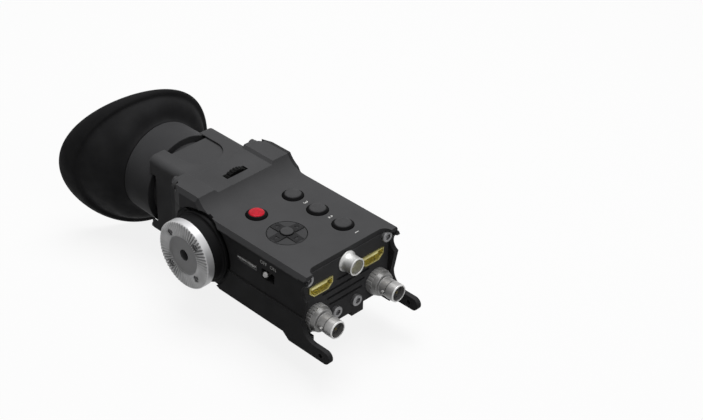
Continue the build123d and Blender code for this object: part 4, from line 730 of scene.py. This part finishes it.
class Shop:
    """Every finish of the viewfinder, made once and given out by name."""

    def __init__(self) -> None:
        """Make all the finishes."""
        finishes = (
            BlastedBlack("housing_black"),
            BlastedBlack("optics_black", colour=(0.05, 0.05, 0.052), grain=0.3),
            # a darker copy of housing_black: painted shade for the pieces that face sideways and
            # down
            BlastedBlack("panel_black_painted_shade", colour=(0.035, 0.035, 0.036), worn=(0.078, 0.078, 0.079)),
            # housing_black darkened further: painted shade for the boss on the side
            BlastedBlack("boss_black_painted_shade", colour=(0.012, 0.012, 0.0125), worn=(0.04, 0.04, 0.041)),
            BlastedBlack("part_black", colour=(0.014, 0.014, 0.015), worn=(0.05, 0.05, 0.05),
                         grain=0.35, rough=0.45),
            BlastedBlack("wheel_black", colour=(0.006, 0.006, 0.006), worn=(0.04, 0.04, 0.04),
                         grain=0.35, rough=0.5),
            BlastedBlack("screen_black", colour=(0.008, 0.008, 0.012), grain=0.5, rough=0.12,
                         grain_depth=0.001, specular=0.5),
            # key_rubber and record_rubber keep the near-black flank of painted shade; pad_rubber is
            # darker on its arms than on its base
            KeyRubber("key_rubber"),
            KeyRubber("pad_rubber", pressed=(0.026, 0.026, 0.027), flank=(0.056, 0.056, 0.058),
                      flank_high=0.2, crown_high=0.42),
            KeyRubber("record_rubber", pressed=(0.03, 0.03, 0.031)),
            SoftRubber("soft_rubber"),
            DiscSilver("disc_silver"),
            TurnedMetal("screw_steel", (0.27, 0.27, 0.275), (0.17, 0.17, 0.175), rough=0.44,
                        metallic=0.8),
            TurnedMetal("dark_screw", (0.05, 0.05, 0.052), (0.03, 0.03, 0.031), rough=0.42),
            TurnedMetal("nickel", (0.38, 0.375, 0.37), (0.24, 0.235, 0.23), rough=0.4, edge=0.3,
                        metallic=0.65),
            # bayonet_nickel paints light and shade along the coaxial barrels: a painted highlight
            # on the bright tip, a ring of painted shade from -11.6 to -10.9 mm and darker painted
            # shade near the panel
            TurnedMetal("bayonet_nickel", (0.86, 0.86, 0.85), (0.66, 0.66, 0.65), rough=0.38,
                        edge=0.3, metallic=0.4,
                        painted_light_bands=((-15.95, (0.46, 0.455, 0.45)), (-11.6, (0.12, 0.12, 0.12)),
                               (-10.9, (0.4, 0.395, 0.39)), (-6.7, (0.24, 0.238, 0.235)))),
            TurnedMetal("pale_nickel", (0.68, 0.68, 0.67), (0.56, 0.56, 0.55), rough=0.36,
                        metallic=0.5),
            TurnedMetal("worn_nickel", (0.46, 0.457, 0.453), (0.24, 0.239, 0.237), rough=0.5,
                        metallic=0.4),
            # slot_steel paints the slot's outer lip near black as painted shade, and a white
            # painted highlight inside it from -31.15 mm
            TurnedMetal("slot_steel", (0.03, 0.03, 0.03), (0.02, 0.02, 0.02), Run.ACROSS,
                        metallic=0.8, band_run=Run.ACROSS, painted_light_bands=((-31.15, (1.0, 1.0, 1.0)),)),
            # socket_gold is dull gold at the mouth, with painted light that makes the inside bright
            # gold from -1.05 mm
            TurnedMetal("socket_gold", (0.4, 0.36, 0.13), (0.3, 0.265, 0.09), Run.ACROSS,
                        rough=0.26, metallic=0.8, painted_light_bands=((-1.05, (0.95, 0.88, 0.42)),)),
            TurnedMetal("contact_brass", (0.12, 0.1, 0.045), (0.07, 0.06, 0.03), rough=0.4),
            TurnedMetal("contact_olive", (0.82, 0.76, 0.36), (0.6, 0.55, 0.24), Run.ACROSS,
                        metallic=0.6),
            TurnedMetal("sink_aluminium", (0.6, 0.6, 0.61), (0.45, 0.45, 0.46), Run.UP, rough=0.4),
            GlossyCap("record_red", (0.6, 0.002, 0.02), (0.42, 0.001, 0.013)),
            GlossyCap("insulator_dark", (0.03, 0.03, 0.028), (0.018, 0.018, 0.017)),
            GlossyCap("insulator_white", (0.66, 0.65, 0.6), (0.56, 0.55, 0.5)),
            GlossyCap("cable_amber", (0.42, 0.18, 0.03), (0.28, 0.1, 0.015)),
            CircuitBoard("board_green"),
            CoatedGlass("lens_glass"),
            PrintedInk("printed_white"),
        )
        self.materials = {finish.name: finish.make() for finish in finishes}

    def dress(self, piece: bpy.types.Object, finish: str) -> None:
        """Put one finish on a whole piece.

        Args:
            piece: A CAD node's object or a new piece.
            finish: Name of the finish.
        """
        material = self.materials[finish]
        if not piece.material_slots:
            piece.data.materials.append(material)
        for slot in piece.material_slots:
            slot.material = material

    def dress_nodes(self, nodes: dict[str, str]) -> None:
        """Put a finish on each named CAD node.

        Args:
            nodes: Names of finishes by the names of the nodes.
        """
        for node, finish in nodes.items():
            self.dress(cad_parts[node], finish)
            LOG.info("dressed %s in %s", node, finish)


class Bench:
    """Hand operations that several pieces share."""

    @staticmethod
    def clear() -> None:
        """Leave edit mode and deselect everything."""
        if bpy.context.mode != "OBJECT":
            bpy.ops.object.mode_set(mode="OBJECT")
        bpy.ops.object.select_all(action="DESELECT")

    @staticmethod
    def take(piece: bpy.types.Object) -> None:
        """Select one piece alone and make it the active one.

        Args:
            piece: The piece.
        """
        Bench.clear()
        piece.select_set(True)
        bpy.context.view_layer.objects.active = piece

    @staticmethod
    def settle(piece: bpy.types.Object, name: str) -> None:
        """Name a piece and move its place, turn and size into its mesh.

        Args:
            piece: The piece.
            name: Its name.
        """
        Bench.take(piece)
        bpy.ops.object.transform_apply(location=True, rotation=True, scale=True)
        piece.name = name
        piece.data.name = name

    @staticmethod
    def ring(vertices: int, radius: float, centre: Vector) -> bpy.types.Object:
        """Start a ring of edges that faces back, and go into edit mode on it.

        Args:
            vertices: How many corners it has.
            radius: Millimetres.
            centre: Its middle, in the model's frame.

        Returns:
            The new ring.
        """
        Bench.clear()
        bpy.ops.mesh.primitive_circle_add(vertices=vertices, radius=radius * MM, location=centre,
                                          rotation=(math.pi / 2, 0, 0), fill_type="NOTHING")
        piece = bpy.context.object
        bpy.ops.object.transform_apply(location=True, rotation=True, scale=True)
        bpy.ops.object.mode_set(mode="EDIT")
        bpy.ops.mesh.select_all(action="SELECT")
        return piece

    @staticmethod
    def grow(back: float, ratio: float, centre: Vector) -> None:
        """Extrude the selected ring back and change its radius.

        Args:
            back: How far it moves along the line of sight, in millimetres.
            ratio: New radius over the old one.
            centre: Point that the radius is measured from.
        """
        bpy.ops.mesh.extrude_edges_move(TRANSFORM_OT_translate={"value": (0, back * MM, 0)})
        bpy.ops.transform.resize(value=(ratio, 1, ratio), center_override=centre)

    @staticmethod
    def turned(vertices: int, profile: list[Pair], centre: Vector) -> bpy.types.Object:
        """Model a round piece ring by ring along the line of sight.

        Args:
            vertices: How many corners each ring has.
            profile: Radius and distance behind the centre of each ring, in millimetres.
            centre: Point on the axis, in the model's frame.

        Returns:
            The piece, in object mode, with its last ring still free of the first.
        """
        radius, back = profile[0]
        piece = Bench.ring(vertices, radius, centre + Vector((0, back * MM, 0)))
        for before, after in zip(profile, profile[1:]):
            Bench.grow(after[1] - before[1], after[0] / before[0], centre)
        Bench.clear()
        return piece

    @staticmethod
    def close_up(piece: bpy.types.Object) -> None:
        """Merge the last ring with the first and turn every face outwards.

        Args:
            piece: The piece.
        """
        Bench.take(piece)
        bpy.ops.object.mode_set(mode="EDIT")
        bpy.ops.mesh.select_all(action="SELECT")
        bpy.ops.mesh.remove_doubles(threshold=MERGE_GAP * MM)
        bpy.ops.mesh.normals_make_consistent(inside=False)
        Bench.clear()


@dataclass
class Housing:
    """Cover, tray, plates and front panel, with the numbers and words printed on them.

    Places and sizes are in millimetres, from the middle of the deck's front edge.
    """

    shop: Shop
    key_numbers: tuple[tuple[str, float], ...] = (("1", 6.0), ("2", 24.0), ("3", 41.6))
    number_x: float = 13.1
    number_height: float = 2.5
    switch_words: tuple[tuple[str, float], ...] = (("OFF", 24.6), ("ON", 17.9))
    word_z: float = -6.4
    word_height: float = 2.0
    panel_face_x: float = -31.3
    type_size: float = 1.4  # times the height of its capitals
    ink_thickness: float = 0.03

    def build(self) -> None:
        """Dress the housing, and print its numbers and words."""
        # the tray, left panel and side plates wear housing_black darkened as painted shade
        self.shop.dress_nodes({
            "top_cover": "housing_black", "front_panel": "housing_black",
            "base_tray": "panel_black_painted_shade", "left_panel": "panel_black_painted_shade",
            "side_plate_left": "panel_black_painted_shade", "side_plate_right": "panel_black_painted_shade",
            "panel_screws": "screw_steel", "case_screws": "part_black"})
        on_deck = Matrix.Rotation(-math.pi / 2, 4, "Z")
        for number, back in self.key_numbers:
            self.print_word("number_" + number, number, self.number_height,
                            place(self.number_x, back, 0.0), on_deck)
        on_side = on_deck @ Matrix.Rotation(math.pi / 2, 4, "X")
        for word, back in self.switch_words:
            self.print_word("word_" + word.lower(), word, self.word_height,
                            place(self.panel_face_x, back, self.word_z), on_side)

    def print_word(self, name: str, word: str, height: float, spot: Vector, turn: Matrix) -> None:
        """Print a number or a word on the housing.

        Args:
            name: Name of the piece.
            word: What is printed.
            height: Height of its capitals in millimetres.
            spot: Its middle, on the surface.
            turn: Rotation that lays it on the surface.
        """
        Bench.clear()
        bpy.ops.object.text_add(location=(0, 0, 0))
        text = bpy.context.object
        text.data.body = word
        text.data.align_x = "CENTER"
        text.data.align_y = "CENTER"
        text.data.size = height * MM * self.type_size
        text.data.extrude = self.ink_thickness * MM
        text.data.resolution_u = 3
        bpy.ops.object.convert(target="MESH")
        text.matrix_world = Matrix.Translation(spot) @ turn
        Bench.settle(text, name)
        self.shop.dress(text, "printed_white")
        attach(text, "housing")
        LOG.info("printed %s", name)


@dataclass
class Controls:
    """Keys, four-way pad, record key and power lever."""

    shop: Shop

    def build(self) -> None:
        """Dress the controls."""
        self.shop.dress_nodes({
            "key_1": "key_rubber", "key_2": "key_rubber", "key_3": "key_rubber",
            "record_key": "record_rubber", "record_cap": "record_red", "pad_ring": "pad_rubber",
            "pad_gimbal": "part_black", "centre_key": "key_rubber", "button_board": "board_green",
            "key_domes": "screw_steel", "board_pillars": "insulator_white", "power_lever": "nickel",
            "lever_switch": "part_black"})


@dataclass
class Sockets:
    """Every socket of the front panel and of the left side. Lengths in millimetres."""

    shop: Shop
    panel_y: float = -0.5
    power_z: float = -7.2
    power_facets: int = 64
    power_crease: float = 40.0  # degrees past which an edge stays sharp
    # Radius, and distance behind the panel's face.
    power_profile: tuple[Pair, ...] = (
        (5.4, 0.0), (5.58, -0.15), (5.6, -0.55), (5.35, -0.85), (5.0, -1.3), (4.75, -1.9),
        (4.62, -2.7), (4.6, -6.6), (4.7, -6.75), (4.7, -7.2), (4.5, -7.4), (4.1, -7.4),
        (3.9, -7.2), (3.9, -2.4), (3.15, -2.4), (3.15, 6.5), (3.6, 6.5), (3.6, 0.0), (5.4, 0.0))

    def build(self) -> None:
        """Shape the bell of the round socket, and dress the others."""
        self.shape_power_shell()
        self.shop.dress_nodes({
            "video_socket_left": "socket_gold", "video_socket_right": "socket_gold",
            "video_tongues": "contact_olive", "coax_jack_left": "bayonet_nickel",
            "coax_jack_right": "bayonet_nickel", "coax_nuts": "worn_nickel",
            "coax_insulators": "insulator_dark", "coax_contacts": "contact_brass",
            "power_insert": "contact_olive", "power_contacts": "contact_brass",
            "port_board": "board_green", "card_slot_shell": "slot_steel",
            "card_slot_tongue": "pale_nickel"})

    def shape_power_shell(self) -> None:
        """Model the round power socket's shell, a bell that narrows to a rolled mouth."""
        centre = place(0, self.panel_y, self.power_z)
        shell = Bench.turned(self.power_facets, list(self.power_profile), centre)
        Bench.close_up(shell)
        Bench.take(shell)
        bpy.ops.object.shade_smooth_by_angle(angle=math.radians(self.power_crease))
        Bench.settle(shell, "power_socket_shell")
        self.shop.dress(shell, "pale_nickel")
        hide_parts("power_socket")
        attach(shell, "housing")
        LOG.info("modelled %s", shell.name)


@dataclass
class DiscMount:
    """Toothed mounting disc on its boss."""

    shop: Shop

    def build(self) -> None:
        """Dress the disc."""
        # the boss wears housing_black darkened as painted shade
        self.shop.dress_nodes({
            "disc_boss": "boss_black_painted_shade", "toothed_disc": "disc_silver", "disc_screws": "screw_steel",
            "boss_screws": "screw_steel"})


@dataclass
class Eyepiece:
    """Block, barrel and lenses behind the housing, with the focus drive."""

    shop: Shop

    def build(self) -> None:
        """Dress the eyepiece."""
        self.shop.dress_nodes({
            "eyepiece_block": "housing_black", "eyepiece_barrel": "optics_black",
            "block_screws": "dark_screw", "lug_screws": "dark_screw", "eye_lens": "lens_glass",
            "lens_ring": "optics_black", "eyecup_ring": "optics_black",
            "lens_carriage": "optics_black", "carriage_lens": "lens_glass",
            "carriage_ring": "optics_black", "guide_rod": "screw_steel",
            "lead_screw": "screw_steel", "thumbwheel": "wheel_black",
            "wheel_bracket": "part_black"})


@dataclass
class Electronics:
    """Boards, display and heat spreader inside the housing."""

    shop: Shop

    def build(self) -> None:
        """Dress the inner pieces."""
        self.shop.dress_nodes({
            "display_module": "part_black", "display_glass": "screen_black",
            "display_cable": "cable_amber", "main_board": "board_green",
            "heat_spreader": "sink_aluminium", "board_screws": "screw_steel"})


@dataclass
class Eyecup:
    """Soft eyecup that leans back on the left, with a folded neck and a rolled lip.

    Lengths are in millimetres. The root and the rim are measured from the deck's front edge.
    """

    shop: Shop
    facets: int = 72
    axis_z: float = -17.7
    root: float = 141.5
    rim: float = 151.9
    lean: float = 13.8
    bow: float = 11.85
    # the outer band and the inside of the lip get painted shade
    dark_from: float = 37.4  # radius of the outer band, on the outside
    dark_within: float = 33.6  # radius of the inner edge of the lip
    dark_blur: float = 1.4
    rounding: int = 2  # levels of subdivision
    # Radius, share of the way from root to rim, and distance behind that.
    section: tuple[Triple, ...] = (
        (24.15, 0.0, -1.7), (25.0, 0.0, -1.7), (25.7, 0.0, -1.5), (26.1, 0.0, -0.6),
        (28.0, 0.035, 0.0), (30.6, 0.1, 0.0), (33.0, 0.2, 0.0), (34.8, 0.34, 0.0),
        (36.0, 0.5, 0.0), (36.7, 0.6, 0.0), (37.3, 0.65, 0.0), (38.1, 0.665, 0.0),
        (39.2, 0.68, 0.0), (40.2, 0.76, 0.0), (40.8, 0.88, 0.0), (40.6, 0.98, 0.3),
        (40.0, 1.0, 1.2), (38.4, 1.0, 1.6), (36.6, 0.97, 0.9), (34.8, 0.9, 0.2),
        (33.2, 0.78, 0.0), (32.1, 0.55, 0.0), (31.6, 0.3, 0.4), (29.8, 0.1, 0.9),
        (26.4, 0.0, 2.9), (24.5, 0.0, 2.7), (24.15, 0.0, 2.0), (24.15, 0.0, -1.7))

    def build(self) -> None:
        """Model the cup, and let it stand for its plain solid."""
        profile = [(radius, share * (self.rim - self.root) + behind)
                   for radius, share, behind in self.section]
        cup = Bench.turned(self.facets, profile, place(0, self.root, self.axis_z))
        self.lean_back(cup)
        Bench.close_up(cup)
        # mark where painted shade darkens the lip
        self.mark_lip_shade(cup)
        smooth = cup.modifiers.new("smooth", "SUBSURF")
        smooth.levels = smooth.render_levels = self.rounding
        Bench.take(cup)
        bpy.ops.object.modifier_apply(modifier=smooth.name)
        bpy.ops.object.shade_smooth()
        Bench.settle(cup, "eyecup_rubber")
        self.shop.dress(cup, "soft_rubber")
        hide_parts("eyecup")
        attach(cup, "eyecup")
        LOG.info("modelled %s", cup.name)

    def lean_back(self, cup: bpy.types.Object) -> None:
        """Move each corner back as far as the lip leans there.

        Args:
            cup: The cup, with its rings still in the order of the section.
        """
        for index, corner in enumerate(cup.data.vertices):
            radius, share, _ = self.section[index // self.facets]
            side = (corner.co.x / MM - BORE.x) / radius
            corner.co.y += share * (-self.lean * side + self.bow * side * side) * MM

    def mark_lip_shade(self, cup: bpy.types.Object) -> None:
        """Mark where painted shade darkens the rubber: on the outside of the lip and down the
        inside.

        Args:
            cup: The cup, with its rings still in the order of the section.
        """
        marks = cup.data.attributes.new("lip_shade", "FLOAT", "POINT")
        lip = max(range(len(self.section)), key=lambda ring: self.section[ring][1])
        for index, mark in enumerate(marks.data):
            ring = index // self.facets
            radius = self.section[ring][0]
            past = radius - self.dark_from if ring < lip else self.dark_within - radius
            mark.value = min(1.0, max(0.0, past / self.dark_blur))


@dataclass(frozen=True)
class PhotoCamera:
    """Where the photograph was taken from. Angles in degrees, lengths in millimetres or pixels."""

    azimuth: float = -41.37
    elevation: float = 34.67
    roll: float = -1.11
    focal: float = 1576.88
    centre: Pair = (239.0, 226.0)
    deck_edge: Pair = (346.23, 248.03)
    scale: float = 2.09
    picture: tuple[int, int] = (703, 420)
    sensor: float = 36.0
    nearest: float = 10.0

    def build(self) -> None:
        """Set the camera up."""
        turn, rise, roll = map(math.radians, (self.azimuth, self.elevation, self.roll))
        ahead = Vector((-math.sin(turn) * math.cos(rise), math.cos(turn) * math.cos(rise),
                        -math.sin(rise)))
        right = Vector((math.cos(turn), math.sin(turn), 0.0))
        up = right.cross(ahead)
        across = right * math.cos(roll) + up * math.sin(roll)
        over = -right * math.sin(roll) + up * math.cos(roll)
        seen = Vector(((self.deck_edge[0] - self.centre[0]) / self.scale,
                       (self.deck_edge[1] - self.centre[1]) / self.scale, self.focal / self.scale))
        eye = -(across * seen.x - over * seen.y + ahead * seen.z)
        wide, high = self.picture
        data = bpy.data.cameras.new("photo_camera")
        data.sensor_width = self.sensor
        data.lens = self.focal / wide * self.sensor
        data.shift_x = (wide / 2 - self.centre[0]) / wide
        data.shift_y = (self.centre[1] - high / 2) / wide
        data.clip_start = self.nearest * MM
        camera = bpy.data.objects.new("photo_camera", data)
        bpy.context.scene.collection.objects.link(camera)
        turned = Matrix((across, over, -ahead)).transposed().to_4x4()
        camera.matrix_world = Matrix.Translation((eye + BORE) * MM) @ turned
        bpy.context.scene.camera = camera
        LOG.info("camera stands at %s", tuple(round(part, 3) for part in camera.location))


@dataclass(frozen=True)
class Lamp:
    """Soft square lamp. Lengths in metres, and power in watts."""

    name: str
    offset: Triple  # from the object's middle
    size: float
    power: float

    def hang(self, middle: Vector) -> None:
        """Hang the lamp, turned to the object.

        Args:
            middle: The object's middle.
        """
        data = bpy.data.lights.new(self.name, "AREA")
        data.size = self.size
        data.energy = self.power
        lamp = bpy.data.objects.new(self.name, data)
        bpy.context.scene.collection.objects.link(lamp)
        spot = middle + Vector(self.offset)
        turned = (middle - spot).to_track_quat("-Z", "Y").to_matrix().to_4x4()
        lamp.matrix_world = Matrix.Translation(spot) @ turned


@dataclass
class Studio:
    """Pale floor, even world and soft lamps."""

    floor_size: float = 8.0  # metres
    floor_gap: float = 0.5  # mm under the object
    floor_share: float = 0.86
    floor_tone: float = 0.13
    world_share: float = 0.096
    lamps: tuple[Lamp, ...] = (Lamp("overhead", (0.15, 0.1, 1.1), 0.8, 12.0),
                               Lamp("front_fill", (-0.2, -1.2, 0.75), 0.7, 2.2))

    def build(self) -> None:
        """Light the scene and lay the floor."""
        bpy.context.scene.view_settings.view_transform = "Standard"
        low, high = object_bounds()
        middle = (Vector(low) + Vector(high)) / 2
        self.lay_floor(Vector((middle.x, middle.y, low[2] - self.floor_gap * MM)))
        self.light_world()
        for lamp in self.lamps:
            lamp.hang(middle)

    def shown_white(self, tree: bpy.types.NodeTree) -> Socket:
        """Find the rays that see the background, straight, by reflection or through glass.

        Args:
            tree: Node tree that asks.

        Returns:
            A share that is 1 for those rays.
        """
        path = tree.nodes.new("ShaderNodeLightPath")
        total = path.outputs["Is Camera Ray"]
        for ray in ("Is Glossy Ray", "Is Transmission Ray"):
            join = tree.nodes.new("ShaderNodeMath")
            join.operation = "MAXIMUM"
            tree.links.new(total, join.inputs[0])
            tree.links.new(path.outputs[ray], join.inputs[1])
            total = join.outputs["Value"]
        return total

    def lay_floor(self, spot: Vector) -> None:
        """Lay a pale floor that keeps the object's shadow.

        Args:
            spot: Its middle, in the model's frame.
        """
        Bench.clear()
        bpy.ops.mesh.primitive_plane_add(size=self.floor_size, location=spot)
        floor = bpy.context.object
        floor.name = "floor"
        material = bpy.data.materials.new("pale_floor")
        material.use_nodes = True
        tree = material.node_tree
        tree.nodes.clear()
        output = tree.nodes.new("ShaderNodeOutputMaterial")
        paint = tree.nodes.new("ShaderNodeBsdfDiffuse")
        paint.inputs["Color"].default_value = (self.floor_tone,) * 3 + (1.0,)
        glow = tree.nodes.new("ShaderNodeEmission")
        both = tree.nodes.new("ShaderNodeAddShader")
        strength = tree.nodes.new("ShaderNodeMath")
        strength.operation = "MULTIPLY"
        strength.inputs[1].default_value = self.floor_share
        tree.links.new(self.shown_white(tree), strength.inputs[0])
        tree.links.new(strength.outputs["Value"], glow.inputs["Strength"])
        tree.links.new(paint.outputs["BSDF"], both.inputs[0])
        tree.links.new(glow.outputs["Emission"], both.inputs[1])
        tree.links.new(both.outputs["Shader"], output.inputs["Surface"])
        floor.data.materials.append(material)
        floor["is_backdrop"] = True

    def light_world(self) -> None:
        """Give an even light, with a white background behind everything."""
        world = bpy.data.worlds.new("even_world")
        bpy.context.scene.world = world
        world.use_nodes = True
        tree = world.node_tree
        tree.nodes.clear()
        output = tree.nodes.new("ShaderNodeOutputWorld")
        sky = tree.nodes.new("ShaderNodeBackground")
        sky.inputs["Color"].default_value = (1.0,) * 4
        strength = tree.nodes.new("ShaderNodeMapRange")
        strength.inputs["To Min"].default_value = self.world_share
        strength.inputs["To Max"].default_value = 1.0
        tree.links.new(self.shown_white(tree), strength.inputs["Value"])
        tree.links.new(strength.outputs["Result"], sky.inputs["Strength"])
        tree.links.new(sky.outputs["Background"], output.inputs["Surface"])


def main() -> None:
    """Build the camera, every part of the viewfinder and the studio."""
    logging.basicConfig(level=logging.INFO, format="%(name)s: %(message)s")
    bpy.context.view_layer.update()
    PhotoCamera().build()
    shop = Shop()
    for part in (Housing, Controls, Sockets, DiscMount, Eyepiece, Electronics, Eyecup):
        part(shop).build()
    Studio().build()


if __name__ == "__main__":
    main()
